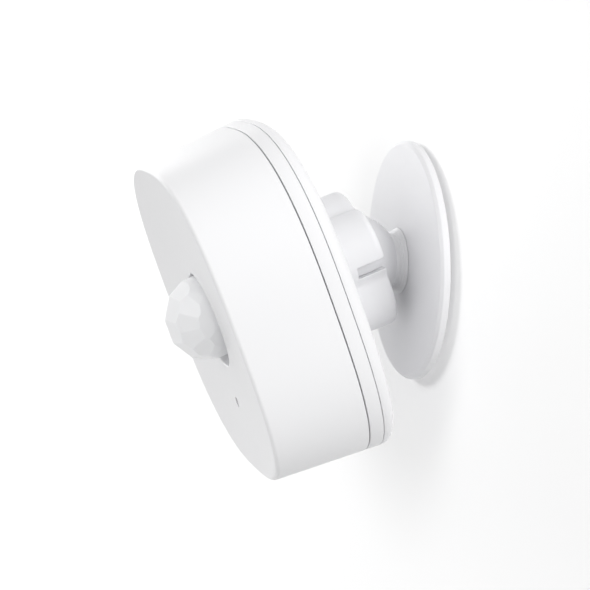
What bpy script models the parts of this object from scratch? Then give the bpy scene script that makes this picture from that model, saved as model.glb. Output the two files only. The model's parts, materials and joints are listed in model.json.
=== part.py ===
"""Battery motion sensor on a ball-joint wall stand, built as separate named pieces.

Metres, +Z up. The wall is the plane Y = 0 and the sensor looks along -Y, tilted down.
Base pieces are drawn with their local Z out of the wall. Head pieces are drawn with
their local Z along the head's axis, forwards, from the ball's centre.
"""

import math

import bmesh
import bpy
from mathutils import Vector

MM = 0.001

# Fits shared by neighbouring pieces
FIT = 0.3 * MM
SEAM = 0.3 * MM

# Flat crown of a pan-head screw, as a share of its head
HEAD_CROWN = 0.75

# Wall base: foam tape, disc and the screw that holds the ball
DISC_RADIUS = 14.9 * MM
DISC_RIM = 1.25 * MM
DISC_RISE = 0.5 * MM
DISC_EDGE = 0.4 * MM
TAPE_THICKNESS = 0.8 * MM
TAPE_PROUD = 0.45 * MM
TAPE_MARGIN = 2.4 * MM
STUD_SCREW_RADIUS = 1.1 * MM
STUD_SCREW_HEAD = 1.1 * MM
STUD_SCREW_END = 1.0 * MM

# Ball and its stepped neck
BALL_RADIUS = 6.05 * MM
BALL_TO_DISC = 0.25 * MM
NECK_RADIUS = 3.5 * MM
NECK_STEP = 0.25 * MM
NECK_STEP_HEIGHT = 0.28 * MM
NECK_STEPS = 3

# Head pose in the photograph
HEAD_TILT = math.radians(20.0)

# Lobed socket collar
PETAL_REACH = 2.4 * MM
PETAL_ROUND = 1.2 * MM
LOBE_WALL = 2.7 * MM
LOBE_RADIUS = 5.5 * MM
LOBE_COUNT = 4
LOBE_TURN = math.radians(23.0)
LIP_LAND = 0.5 * MM
SLOT_WIDTH = 1.5 * MM
SLOT_DEPTH = 3.8 * MM
COLLAR_SCREW_RADIUS = 0.6 * MM
COLLAR_SCREW_HEAD_RADIUS = 1.3 * MM
COLLAR_SCREW_HEAD = 0.8 * MM
COLLAR_SCREW_GRIP = 2.6 * MM

# Friction pad and rear cover
PAD_THICKNESS = 0.7 * MM
BALL_SINK = 1.05 * MM
PLATE_THICKNESS = 1.45 * MM
PLATE_ROUND = 1.2 * MM
POCKET_WALL = 1.0 * MM

# Rounded-square head
HEAD_HALF_WIDTH = 21.0 * MM
HEAD_POWER = 2.75
HEAD_DRAFT = math.radians(4.0)
HEAD_EDGE = 0.5 * MM
HEAD_WALL = 1.6 * MM
FACE_WALL = 1.5 * MM
DISH_DEPTH = 1.0 * MM
FRONT_ROOM = 1.6 * MM

# Bayonet between the cover ring and the inner frame
RING_WIDTH = 1.5 * MM
RING_WALL = 2.1 * MM
LUG_COUNT = 3
LUG_REACH = 0.7 * MM
LUG_HEIGHT = 0.6 * MM
LUG_WIDTH = 6.3 * MM
LUG_FIRST = math.radians(90.0)
BAYONET_TURN = math.radians(25.0)
SPIGOT_GAP = 1.4 * MM
SPIGOT_WALL = 1.2 * MM
SPIGOT_REST = 0.5 * MM

# Inner frame and coin cell
CELL_RADIUS = 12.25 * MM
CELL_HEIGHT = 5.0 * MM
CELL_GAP = 0.45 * MM
CELL_CRIMP = 0.85 * MM
CELL_STEP = 0.4 * MM
POCKET_SIDE = 0.8 * MM
LEDGE_THICKNESS = 0.6 * MM
LEDGE_WIDTH = 2.05 * MM
FLANGE_THICKNESS = 1.6 * MM
FRAME_SCREW_RADIUS = 0.7 * MM
FRAME_SCREW_HEAD_RADIUS = 1.15 * MM
FRAME_SCREW_HEAD = 0.7 * MM
FRAME_SCREW_GRIP = 4.5 * MM
FRAME_SCREW_INSET = 1.9 * MM
CORNER_BOSS_RADIUS = 2.6 * MM

# Circuit board and what sits on it
BOARD_THICKNESS = 1.0 * MM
BOARD_SCREW_RADIUS = 0.6 * MM
BOARD_SCREW_HEAD_RADIUS = 1.1 * MM
BOARD_SCREW_HEAD = 0.8 * MM
BOARD_SCREW_GRIP = 1.8 * MM
BOARD_BOSS_RADIUS = 1.8 * MM
CONTACT_THICKNESS = 0.2 * MM
CONTACT_WIDTH = 5.0 * MM
CONTACT_LENGTH = 3.6 * MM
SHIELD_WIDTH = 9.0 * MM
SHIELD_LENGTH = 6.0 * MM
SHIELD_MARGIN = 0.8 * MM
ANTENNA_SIZE = 3.2 * MM
ANTENNA_ANGLE = math.radians(210.0)
LED_SIZE = 1.6 * MM
LED_HEIGHT = 0.4 * MM
SWITCH_LENGTH = 3.0 * MM
SWITCH_WIDTH = 2.0 * MM
SWITCH_HEIGHT = 1.3 * MM
BUTTON_RADIUS = 0.7 * MM
BUTTON_COLLAR = 0.45 * MM
BUTTON_ANGLE = math.radians(250.0)

# Faceted lens, infrared sensor and light pipe
LENS_RADIUS = 5.15 * MM
LENS_DOME = 5.3 * MM
LENS_WALL = 0.7 * MM
LENS_PROUD = 4.2 * MM
LENS_RAISE = 0.35 * MM
LENS_GAP = 1.05 * MM
HOLE_SINK = 0.4 * MM
PANE_COLUMN = math.radians(25.0)
PANE_ROW = math.radians(29.0)
PANE_COLUMNS = 7
PANE_ROWS = 6
PANE_LOWEST = math.radians(84.0)
LENS_FLANGE_WIDTH = 1.2 * MM
LENS_FLANGE = 0.7 * MM
PIR_HEIGHT = 2.6 * MM
PIR_RIM = 0.35 * MM
PIR_WINDOW_WIDTH = 4.0 * MM
PIR_WINDOW_HEIGHT = 3.0 * MM
PIPE_HOLE_RADIUS = 0.65 * MM
PIPE_RADIUS = 0.4 * MM
PIPE_FLANGE_RADIUS = 1.2 * MM
PIPE_FROM_LENS = 3.6 * MM
PIPE_RECESS = 0.6 * MM

# Roundness of the meshes
ROUND_STEPS = 48
MIDDLE_STEPS = 36
SMALL_STEPS = 12
SECTION_POINTS = 60
COLLAR_POINTS = 64
ARC_STEPS = 4
POLE_STEPS = 3
WELD = 0.002 * MM

# Heights above the wall, worked out from the sizes above
DISC_BACK = TAPE_PROUD
DISC_FRONT = DISC_BACK + DISC_RIM
DISC_CENTRE = DISC_FRONT + DISC_RISE
DISC_FLOOR = TAPE_THICKNESS + FIT
BALL_HEIGHT = DISC_CENTRE + BALL_TO_DISC + BALL_RADIUS

# Stations along the head's axis, forwards from the ball's centre
SOCKET_RADIUS = BALL_RADIUS + FIT
COLLAR_RADIUS = SOCKET_RADIUS + LOBE_WALL
PLATE_BACK = BALL_RADIUS - BALL_SINK
PLATE_FRONT = PLATE_BACK + PLATE_THICKNESS
COLLAR_FRONT = PLATE_BACK - FIT
PAD_INNER = BALL_RADIUS + FIT
PAD_OUTER = PAD_INNER + PAD_THICKNESS
POCKET_RADIUS = PAD_OUTER + FIT
BUMP_RADIUS = POCKET_RADIUS + POCKET_WALL
RING_BACK = PLATE_FRONT + SEAM
RING_FRONT = RING_BACK + RING_WIDTH
HOUSING_BACK = RING_FRONT + SEAM
CELL_BACK = BUMP_RADIUS + CELL_GAP
CELL_FRONT = CELL_BACK + CELL_HEIGHT
LEDGE_BACK = CELL_FRONT + FIT
LEDGE_FRONT = LEDGE_BACK + LEDGE_THICKNESS
BOARD_BACK = LEDGE_FRONT + FIT
BOARD_FRONT = BOARD_BACK + BOARD_THICKNESS
CAVITY_FRONT = BOARD_FRONT + FRONT_ROOM
HOUSING_FRONT = CAVITY_FRONT + FACE_WALL + DISH_DEPTH
CHIP_BACK = BOARD_FRONT + FIT
CHIP_FRONT = CAVITY_FRONT - FIT
FLANGE_BACK = HOUSING_BACK + FIT
FLANGE_FRONT = FLANGE_BACK + FLANGE_THICKNESS
SPIGOT_BACK = PLATE_FRONT + SPIGOT_REST

# Radii across the head's axis
CHANNEL_RADIUS = HEAD_HALF_WIDTH - RING_WALL
SPIGOT_RADIUS = CHANNEL_RADIUS - SPIGOT_GAP
LUG_RADIUS = SPIGOT_RADIUS + LUG_REACH
RING_BORE = SPIGOT_RADIUS + FIT
POCKET_BORE = CELL_RADIUS + FIT
POCKET_OUTER = POCKET_BORE + POCKET_SIDE
LEDGE_BORE = POCKET_BORE - LEDGE_WIDTH
BOARD_SCREW_CIRCLE = POCKET_OUTER + FIT + BOARD_SCREW_HEAD_RADIUS
BOARD_RADIUS = BOARD_SCREW_CIRCLE + BOARD_SCREW_HEAD_RADIUS
HOLE_RADIUS = LENS_RADIUS + LENS_GAP
HOLE_THROAT = HOLE_RADIUS - HOLE_SINK
LENS_FLANGE_RADIUS = HOLE_RADIUS + LENS_FLANGE_WIDTH
LENS_BORE = LENS_RADIUS - LENS_WALL
LENS_TOP = HOUSING_FRONT + LENS_PROUD
PIR_RADIUS = LENS_BORE - FIT - PIR_RIM
PIPE_OFFSET = LENS_FLANGE_RADIUS + PIPE_FROM_LENS
COLLAR_SCREW_CIRCLE = COLLAR_RADIUS - COLLAR_SCREW_HEAD_RADIUS - LIP_LAND

WHITE = (0.88, 0.88, 0.89, 1.0)


def clear_scene():
    for old in list(bpy.data.objects):
        bpy.data.objects.remove(old, do_unlink=True)


def new_collection(name):
    collection = bpy.data.collections.new(name)
    bpy.context.scene.collection.children.link(collection)
    return collection


def material(name, colour, roughness, metallic=0.0):
    made = bpy.data.materials.new(name)
    made.use_nodes = True
    shader = made.node_tree.nodes["Principled BSDF"]
    shader.inputs["Base Color"].default_value = colour
    shader.inputs["Roughness"].default_value = roughness
    shader.inputs["Metallic"].default_value = metallic
    made.diffuse_color = colour
    return made


clear_scene()
PARTS = new_collection("motion_sensor")
CUTTERS = new_collection("motion_sensor_cutters")

WHITE_PLASTIC = material("white_plastic", WHITE, 0.45)
LENS_PLASTIC = material("lens_plastic", (0.93, 0.93, 0.94, 1.0), 0.3)
SMOKED_PLASTIC = material("smoked_plastic", (0.03, 0.03, 0.035, 1.0), 0.2)
GREY_PLASTIC = material("grey_plastic", (0.55, 0.56, 0.58, 1.0), 0.55)
FOAM = material("foam_tape", (0.75, 0.75, 0.74, 1.0), 0.9)
RUBBER = material("soft_rubber", (0.25, 0.25, 0.26, 1.0), 0.85)
STEEL = material("steel", (0.62, 0.62, 0.63, 1.0), 0.35, 1.0)
BRASS = material("plated_brass", (0.75, 0.65, 0.42, 1.0), 0.3, 1.0)
BOARD_GREEN = material("board_green", (0.03, 0.2, 0.09, 1.0), 0.4)
CHIP_BLACK = material("chip_black", (0.04, 0.04, 0.045, 1.0), 0.4)


def axis_frame(name, height, angle):
    """An empty whose local Z points out of the wall, turned down by an angle."""
    empty = bpy.data.objects.new(name, None)
    empty.location = (0.0, -height, 0.0)
    empty.rotation_euler = (math.pi / 2 + angle, 0.0, 0.0)
    PARTS.objects.link(empty)
    return empty


BASE = axis_frame("base_axis", 0.0, 0.0)
HEAD = axis_frame("head_axis", BALL_HEIGHT, HEAD_TILT)


def add(name, mesh, parent, paint=None, location=(0.0, 0.0, 0.0)):
    """Link a mesh as a finished part, or as a cutter when it has no paint."""
    thing = bpy.data.objects.new(name, mesh)
    thing.parent = parent
    thing.location = location
    if paint is None:
        CUTTERS.objects.link(thing)
        thing.hide_render = True
        thing.display_type = "WIRE"
    else:
        PARTS.objects.link(thing)
        mesh.materials.append(paint)
    return thing


def mesh_from(name, build):
    """A mesh made by a function that fills a bmesh."""
    mesh = bpy.data.meshes.new(name)
    work = bmesh.new()
    build(work)
    bmesh.ops.recalc_face_normals(work, faces=work.faces)
    work.to_mesh(mesh)
    work.free()
    return mesh


def section(half_width, station, power):
    """One ring of a rounded square: power 2 is a circle, larger is squarer."""
    ring = []
    for step in range(SECTION_POINTS):
        angle = 2 * math.pi * step / SECTION_POINTS
        cosine = math.cos(angle)
        sine = math.sin(angle)
        reach = half_width / (abs(cosine) ** power + abs(sine) ** power) ** (1 / power)
        ring.append((reach * cosine, reach * sine, station))
    return ring


def circle(radius, station):
    return section(radius, station, 2.0)


def squircle(half_width, station):
    return section(half_width, station, HEAD_POWER)


def loft(name, rings, closed):
    """Skin a row of rings, joined end to end or capped at both ends."""

    def build(work):
        rows = [[work.verts.new(point) for point in ring] for ring in rings]
        pairs = list(zip(rows, rows[1:]))
        if closed:
            pairs.append((rows[-1], rows[0]))
        else:
            work.faces.new(rows[0])
            work.faces.new(rows[-1])
        for near, far in pairs:
            for index in range(len(near)):
                following = (index + 1) % len(near)
                work.faces.new((near[index], near[following], far[following], far[index]))

    return mesh_from(name, build)


def turned(name, profile, parent, paint, steps=ROUND_STEPS, closed=False, location=(0.0, 0.0, 0.0)):
    """Turn a profile of (radius, height) points, given down its outer side, about Z."""
    mesh = bpy.data.meshes.new(name)
    points = [(radius, 0.0, height) for radius, height in profile]
    edges = [(index, index + 1) for index in range(len(points) - 1)]
    if closed:
        edges.append((len(points) - 1, 0))
    mesh.from_pydata(points, edges, [])
    thing = add(name, mesh, parent, paint, location)
    screw = thing.modifiers.new("turn", "SCREW")
    screw.steps = steps
    screw.render_steps = steps
    screw.use_merge_vertices = True
    screw.merge_threshold = 0.000001
    return thing


def box(name, centre, size, parent, paint=None, turn=0.0):
    """A box centred at a point, turned about the parent's Z through that point's axis."""

    def build(work):
        bmesh.ops.create_cube(work, size=1.0)
        for vert in work.verts:
            vert.co = [coordinate * length for coordinate, length in zip(vert.co, size)]

    thing = add(name, mesh_from(name, build), parent, paint, centre)
    thing.rotation_euler = (0.0, 0.0, turn)
    return thing


def rods(name, places, radius, low, high, parent):
    """A cutter of one or more parallel round rods."""

    def build(work):
        for x, y in places:
            made = bmesh.ops.create_cone(
                work, cap_ends=True, segments=SMALL_STEPS, radius1=radius, radius2=radius, depth=high - low
            )
            bmesh.ops.translate(work, vec=(x, y, (low + high) / 2), verts=made["verts"])

    return add(name, mesh_from(name, build), parent)


def combine(thing, tool, operation):
    boolean = thing.modifiers.new(tool.name, "BOOLEAN")
    boolean.operation = operation
    boolean.solver = "EXACT"
    boolean.object = tool


def around(radius, count, first):
    """Points spaced evenly on a circle."""
    angles = [first + 2 * math.pi * index / count for index in range(count)]
    return [(radius * math.cos(angle), radius * math.sin(angle)) for angle in angles]


def arc(start, end, steps=ARC_STEPS):
    """Angles from start to end, in degrees, both ends included."""
    return [math.radians(start + (end - start) * step / steps) for step in range(steps + 1)]


def sphere_radius(radius, station):
    return math.sqrt(radius * radius - station * station)


def half_width(station):
    """Half width of the drafted head at a station along its axis."""
    return HEAD_HALF_WIDTH - (station - HOUSING_BACK) * math.tan(HEAD_DRAFT)


def corner_radius(side):
    """Distance from the axis to a rounded square's corner, from its half width."""
    return side * 2 ** (0.5 - 1 / HEAD_POWER)


FLANGE_HALF_WIDTH = half_width(FLANGE_FRONT) - HEAD_WALL - FIT
FRAME_SCREW_CIRCLE = corner_radius(FLANGE_HALF_WIDTH) - FRAME_SCREW_INSET
FRAME_SCREWS = around(FRAME_SCREW_CIRCLE, 4, math.pi / 4)
BOARD_SCREWS = around(BOARD_SCREW_CIRCLE, 2, 0.0)
COLLAR_SCREWS = around(COLLAR_SCREW_CIRCLE, LOBE_COUNT, LOBE_TURN)


def headed_screw(name, place, radius, head_radius, head_back, head, end, parent):
    """A pan-head screw whose head faces backwards, along -Z of its parent."""
    profile = [
        (0.0, end),
        (radius, end),
        (radius, head_back + head),
        (head_radius, head_back + head),
        (head_radius, head_back + head / 3),
        (head_radius * HEAD_CROWN, head_back),
        (0.0, head_back),
    ]
    return turned(name, profile, parent, STEEL, SMALL_STEPS, location=(place[0], place[1], 0.0))


def make_wall_base():
    tape_radius = DISC_RADIUS - TAPE_MARGIN
    turned(
        "adhesive_pad",
        [(0.0, TAPE_THICKNESS), (tape_radius, TAPE_THICKNESS), (tape_radius, 0.0), (0.0, 0.0)],
        BASE,
        FOAM,
    )
    hole = STUD_SCREW_RADIUS + FIT
    sink = hole + STUD_SCREW_HEAD
    shoulder = NECK_RADIUS + NECK_STEP * NECK_STEPS + FIT
    recess = tape_radius + FIT
    turned(
        "base_disc",
        [
            (hole, DISC_CENTRE),
            (shoulder, DISC_CENTRE),
            (DISC_RADIUS - DISC_EDGE, DISC_FRONT),
            (DISC_RADIUS, DISC_FRONT - DISC_EDGE),
            (DISC_RADIUS, DISC_BACK + DISC_EDGE / 2),
            (DISC_RADIUS - DISC_EDGE / 2, DISC_BACK),
            (recess, DISC_BACK),
            (recess, DISC_FLOOR),
            (sink, DISC_FLOOR),
            (hole, DISC_FLOOR + STUD_SCREW_HEAD),
        ],
        BASE,
        WHITE_PLASTIC,
        closed=True,
    )
    turned(
        "ball_screw",
        [
            (0.0, BALL_HEIGHT - STUD_SCREW_END),
            (STUD_SCREW_RADIUS, BALL_HEIGHT - STUD_SCREW_END),
            (STUD_SCREW_RADIUS, DISC_FLOOR + STUD_SCREW_HEAD),
            (STUD_SCREW_RADIUS + STUD_SCREW_HEAD, DISC_FLOOR),
            (0.0, DISC_FLOOR),
        ],
        BASE,
        STEEL,
        SMALL_STEPS,
    )


def make_ball():
    neck_meets = math.degrees(math.asin(NECK_RADIUS / BALL_RADIUS))
    profile = []
    for angle in arc(0.0, 180.0 - neck_meets, 3 * ARC_STEPS):
        profile.append((BALL_RADIUS * math.sin(angle), BALL_HEIGHT + BALL_RADIUS * math.cos(angle)))
    neck_foot = DISC_CENTRE + FIT
    for step in range(NECK_STEPS):
        height = neck_foot + NECK_STEP_HEIGHT * (NECK_STEPS - step)
        profile.append((NECK_RADIUS + NECK_STEP * step, height))
        profile.append((NECK_RADIUS + NECK_STEP * (step + 1), height))
    bore = STUD_SCREW_RADIUS + FIT
    bore_end = BALL_HEIGHT - STUD_SCREW_END + FIT
    profile.append((NECK_RADIUS + NECK_STEP * NECK_STEPS, neck_foot))
    profile += [(bore, neck_foot), (bore, bore_end), (0.0, bore_end)]
    turned("ball_stud", profile, BASE, WHITE_PLASTIC, MIDDLE_STEPS)


def make_friction_pad():
    rim = PLATE_BACK + FIT
    outer = math.degrees(math.acos(rim / PAD_OUTER))
    inner = math.degrees(math.acos(rim / PAD_INNER))
    profile = [(PAD_OUTER * math.sin(angle), PAD_OUTER * math.cos(angle)) for angle in arc(0.0, outer)]
    profile += [(PAD_INNER * math.sin(angle), PAD_INNER * math.cos(angle)) for angle in arc(inner, 0.0)]
    turned("friction_pad", profile, HEAD, RUBBER, 2 * SMALL_STEPS)


def lobed(station, inset):
    """One ring of the collar's outline: four round lobes that meet in creases."""
    centre = COLLAR_RADIUS - LOBE_RADIUS
    land = sphere_radius(SOCKET_RADIUS, PETAL_REACH) + LIP_LAND
    pitch = 2 * math.pi / LOBE_COUNT
    ring = []
    for step in range(COLLAR_POINTS):
        angle = 2 * math.pi * step / COLLAR_POINTS
        offset = (angle + pitch / 2) % pitch - pitch / 2
        reach = centre * math.cos(offset) + math.sqrt(LOBE_RADIUS ** 2 - (centre * math.sin(offset)) ** 2)
        reach -= inset * (reach - land) / (COLLAR_RADIUS - land)
        ring.append((reach * math.cos(angle + LOBE_TURN), reach * math.sin(angle + LOBE_TURN), station))
    return ring


def round_ring(radius, station):
    """A circle with as many points as the collar's outline."""
    ring = []
    for step in range(COLLAR_POINTS):
        angle = 2 * math.pi * step / COLLAR_POINTS + LOBE_TURN
        ring.append((radius * math.cos(angle), radius * math.sin(angle), station))
    return ring


def make_collar():
    rings = [lobed(COLLAR_FRONT, 0.0)]
    for angle in arc(0.0, 90.0):
        station = PETAL_ROUND * (1 - math.sin(angle)) - PETAL_REACH
        rings.append(lobed(station, PETAL_ROUND * (1 - math.cos(angle))))
    inside_steps = 2 * POLE_STEPS
    for step in range(inside_steps + 1):
        station = -PETAL_REACH + (COLLAR_FRONT + PETAL_REACH) * step / inside_steps
        rings.append(round_ring(sphere_radius(SOCKET_RADIUS, station), station))
    collar = add("socket_collar", loft("socket_collar", rings, closed=True), HEAD, WHITE_PLASTIC)
    slot_bottom = SLOT_DEPTH - PETAL_REACH
    slot_height = SLOT_DEPTH + FIT
    slot = box(
        "slot_across",
        (0.0, 0.0, slot_bottom - slot_height / 2),
        (4 * COLLAR_RADIUS, SLOT_WIDTH, slot_height),
        HEAD,
    )
    combine(collar, slot, "DIFFERENCE")
    pilot = rods(
        "collar_pilots",
        COLLAR_SCREWS,
        COLLAR_SCREW_RADIUS + FIT,
        COLLAR_FRONT - COLLAR_SCREW_GRIP - FIT,
        COLLAR_FRONT + FIT,
        HEAD,
    )
    combine(collar, pilot, "DIFFERENCE")


def make_back_plate():
    pocket_mouth = sphere_radius(POCKET_RADIUS, PLATE_BACK)
    rings = []
    for step in range(1, POLE_STEPS + 1):
        radius = pocket_mouth * step / POLE_STEPS
        rings.append(circle(radius, sphere_radius(POCKET_RADIUS, radius)))
    rim = half_width(PLATE_FRONT)
    for angle in arc(90.0, 0.0):
        rings.append(
            squircle(
                rim - PLATE_ROUND * (1 - math.cos(angle)),
                PLATE_BACK + PLATE_ROUND * (1 - math.sin(angle)),
            )
        )
    rings.append(squircle(rim, PLATE_FRONT))
    bump_foot = sphere_radius(BUMP_RADIUS, PLATE_FRONT)
    for step in range(POLE_STEPS, 0, -1):
        radius = bump_foot * step / POLE_STEPS
        rings.append(circle(radius, sphere_radius(BUMP_RADIUS, radius)))
    plate = add("back_plate", loft("back_plate", rings, closed=False), HEAD, WHITE_PLASTIC)
    holes = rods(
        "plate_holes",
        COLLAR_SCREWS,
        COLLAR_SCREW_RADIUS + FIT,
        PLATE_BACK - FIT,
        PLATE_FRONT + FIT,
        HEAD,
    )
    combine(plate, holes, "DIFFERENCE")
    for index, place in enumerate(COLLAR_SCREWS):
        screw = headed_screw(
            f"collar_screw_{index + 1}",
            place,
            COLLAR_SCREW_RADIUS,
            COLLAR_SCREW_HEAD_RADIUS,
            -PLATE_FRONT - FIT - COLLAR_SCREW_HEAD,
            COLLAR_SCREW_HEAD,
            COLLAR_SCREW_GRIP - COLLAR_FRONT,
            HEAD,
        )
        screw.rotation_euler = (math.pi, 0.0, 0.0)


def make_cover_ring():
    shelf = SPIGOT_BACK + LUG_HEIGHT + FIT
    rings = [
        squircle(half_width(RING_BACK), RING_BACK),
        squircle(half_width(RING_FRONT), RING_FRONT),
        circle(RING_BORE, RING_FRONT),
        circle(RING_BORE, shelf),
        circle(CHANNEL_RADIUS, shelf),
        circle(CHANNEL_RADIUS, RING_BACK),
    ]
    ring = add("cover_ring", loft("cover_ring", rings, closed=True), HEAD, WHITE_PLASTIC)
    notch_reach = (RING_BORE + CHANNEL_RADIUS) / 2
    notch_depth = CHANNEL_RADIUS - RING_BORE
    for index in range(LUG_COUNT):
        angle = LUG_FIRST + BAYONET_TURN + 2 * math.pi * index / LUG_COUNT
        notch = box(
            f"ring_notch_{index + 1}",
            (notch_reach * math.cos(angle), notch_reach * math.sin(angle), (shelf + RING_FRONT) / 2),
            (notch_depth + FIT, LUG_WIDTH + 2 * SPIGOT_WALL, RING_FRONT - shelf + FIT),
            HEAD,
            turn=angle,
        )
        combine(ring, notch, "DIFFERENCE")


def make_inner_frame():
    rings = [
        squircle(FLANGE_HALF_WIDTH, FLANGE_BACK),
        squircle(FLANGE_HALF_WIDTH, FLANGE_FRONT),
        circle(POCKET_OUTER, FLANGE_FRONT),
        circle(POCKET_OUTER, LEDGE_FRONT),
        circle(LEDGE_BORE, LEDGE_FRONT),
        circle(LEDGE_BORE, LEDGE_BACK),
        circle(POCKET_BORE, LEDGE_BACK),
        circle(POCKET_BORE, FLANGE_BACK),
        circle(SPIGOT_RADIUS - SPIGOT_WALL, FLANGE_BACK),
        circle(SPIGOT_RADIUS - SPIGOT_WALL, SPIGOT_BACK),
        circle(SPIGOT_RADIUS, SPIGOT_BACK),
        circle(SPIGOT_RADIUS, FLANGE_BACK),
    ]
    frame = add("inner_frame", loft("inner_frame", rings, closed=True), HEAD, WHITE_PLASTIC)
    lug_depth = LUG_REACH + SPIGOT_WALL / 2
    lug_middle = LUG_RADIUS - lug_depth / 2
    for index in range(LUG_COUNT):
        angle = LUG_FIRST + 2 * math.pi * index / LUG_COUNT
        lug = box(
            f"frame_lug_{index + 1}",
            (lug_middle * math.cos(angle), lug_middle * math.sin(angle), SPIGOT_BACK + LUG_HEIGHT / 2),
            (lug_depth, LUG_WIDTH, LUG_HEIGHT),
            HEAD,
            turn=angle,
        )
        combine(frame, lug, "UNION")
    holes = rods(
        "frame_holes", FRAME_SCREWS, FRAME_SCREW_RADIUS + FIT, FLANGE_BACK - FIT, FLANGE_FRONT + FIT, HEAD
    )
    combine(frame, holes, "DIFFERENCE")
    sinks = rods(
        "frame_sinks",
        FRAME_SCREWS,
        FRAME_SCREW_HEAD_RADIUS + FIT,
        FLANGE_BACK - FIT,
        FLANGE_BACK + FRAME_SCREW_HEAD + FIT,
        HEAD,
    )
    combine(frame, sinks, "DIFFERENCE")
    slot_back = FLANGE_FRONT + FIT
    slot_front = LEDGE_FRONT + FIT
    slot_depth = POCKET_SIDE + 3 * FIT
    slot = box(
        "contact_slot",
        (0.0, POCKET_OUTER + FIT - slot_depth / 2, (slot_back + slot_front) / 2),
        (CONTACT_WIDTH + 2 * FIT, slot_depth, slot_front - slot_back),
        HEAD,
    )
    combine(frame, slot, "DIFFERENCE")
    button_hole = rods(
        "button_hole",
        around(BOARD_SCREW_CIRCLE, 1, BUTTON_ANGLE),
        BUTTON_RADIUS + FIT,
        FLANGE_BACK - FIT,
        FLANGE_FRONT + FIT,
        HEAD,
    )
    combine(frame, button_hole, "DIFFERENCE")
    for index, place in enumerate(FRAME_SCREWS):
        headed_screw(
            f"frame_screw_{index + 1}",
            place,
            FRAME_SCREW_RADIUS,
            FRAME_SCREW_HEAD_RADIUS,
            FLANGE_BACK,
            FRAME_SCREW_HEAD,
            FLANGE_FRONT + FRAME_SCREW_GRIP,
            HEAD,
        )


def dish(reach, edge):
    """Height of the dished face at a distance from the axis."""
    return HOUSING_FRONT - DISH_DEPTH * (1 - (reach / edge) ** 2)


def make_front_housing():
    front_side = half_width(HOUSING_FRONT)
    edge = front_side - HEAD_EDGE
    rings = [squircle(half_width(HOUSING_BACK), HOUSING_BACK)]
    for angle in arc(0.0, 90.0):
        rings.append(
            squircle(
                edge + HEAD_EDGE * math.cos(angle),
                HOUSING_FRONT - HEAD_EDGE * (1 - math.sin(angle)),
            )
        )
    for step in range(ARC_STEPS - 1, 0, -1):
        share = step / ARC_STEPS
        reach = HOLE_RADIUS + (edge - HOLE_RADIUS) * share
        rings.append(section(reach, dish(reach, edge), 2.0 + (HEAD_POWER - 2.0) * share))
    rings += [
        circle(HOLE_RADIUS, dish(HOLE_RADIUS, edge)),
        circle(HOLE_THROAT, dish(HOLE_RADIUS, edge) - HOLE_SINK),
        circle(HOLE_THROAT, CAVITY_FRONT),
        squircle(half_width(CAVITY_FRONT) - HEAD_WALL, CAVITY_FRONT),
        squircle(half_width(HOUSING_BACK) - HEAD_WALL, HOUSING_BACK),
    ]
    housing = add("front_housing", loft("front_housing", rings, closed=True), HEAD, WHITE_PLASTIC)
    boss_root = CAVITY_FRONT + FACE_WALL / 2
    boss_start = FLANGE_FRONT + FIT
    corner_bosses = rods("corner_bosses", FRAME_SCREWS, CORNER_BOSS_RADIUS, boss_start, boss_root, HEAD)
    board_bosses = rods("board_bosses", BOARD_SCREWS, BOARD_BOSS_RADIUS, CHIP_BACK, boss_root, HEAD)
    corner_pilots = rods(
        "corner_pilots",
        FRAME_SCREWS,
        FRAME_SCREW_RADIUS + FIT,
        boss_start - FIT,
        FLANGE_FRONT + FRAME_SCREW_GRIP + FIT,
        HEAD,
    )
    board_pilots = rods(
        "board_pilots",
        BOARD_SCREWS,
        BOARD_SCREW_RADIUS + FIT,
        BOARD_FRONT,
        BOARD_FRONT + BOARD_SCREW_GRIP + FIT,
        HEAD,
    )
    pipe_hole = rods("pipe_hole", [(0.0, -PIPE_OFFSET)], PIPE_HOLE_RADIUS, CHIP_BACK, LENS_TOP, HEAD)
    combine(housing, corner_bosses, "UNION")
    combine(housing, board_bosses, "UNION")
    for tool in (corner_pilots, board_pilots, pipe_hole):
        combine(housing, tool, "DIFFERENCE")


def pane_normals():
    """Directions of the lens's panes: upright columns, each half a row off its neighbours."""
    normals = []
    for column in range(PANE_COLUMNS):
        across = (column - (PANE_COLUMNS - 1) / 2) * PANE_COLUMN
        shift = 0.5 * (column % 2)
        for row in range(PANE_ROWS + 1):
            along = (row - PANE_ROWS / 2 + shift) * PANE_ROW
            rise = math.cos(across) * math.cos(along)
            if rise > math.cos(PANE_LOWEST):
                normals.append(Vector((math.sin(across), math.cos(across) * math.sin(along), rise)))
    return normals


def clipped(polygon, normal, limit):
    """The part of a polygon that lies behind a plane."""
    kept = []
    for here, after in zip(polygon, polygon[1:] + polygon[:1]):
        over = here.dot(normal) - limit
        over_after = after.dot(normal) - limit
        if over <= 0.0:
            kept.append(here)
        if over * over_after < 0.0:
            kept.append(here.lerp(after, over / (over - over_after)))
    return kept


def paned_dome(inset, base):
    """Faces of the solid dome behind all panes and side walls. The last one is its base."""
    planes = [(Vector((x, y, 0.0)), LENS_RADIUS - inset) for x, y in around(1.0, MIDDLE_STEPS, 0.0)]
    centre = LENS_TOP - LENS_DOME / math.cos(PANE_ROW / 2)
    planes += [(normal, LENS_DOME - inset + normal.z * centre) for normal in pane_normals()]
    planes.append((Vector((0.0, 0.0, -1.0)), -base))
    faces = []
    for normal, limit in planes:
        side = normal.orthogonal().normalized() * 4 * LENS_RADIUS
        rise = normal.cross(side)
        middle = normal * limit
        polygon = [middle + side + rise, middle - side + rise, middle - side - rise, middle + side - rise]
        for other, other_limit in planes:
            if other is not normal:
                polygon = clipped(polygon, other, other_limit)
        if len(polygon) > 2:
            faces.append(polygon)
    return faces


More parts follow.
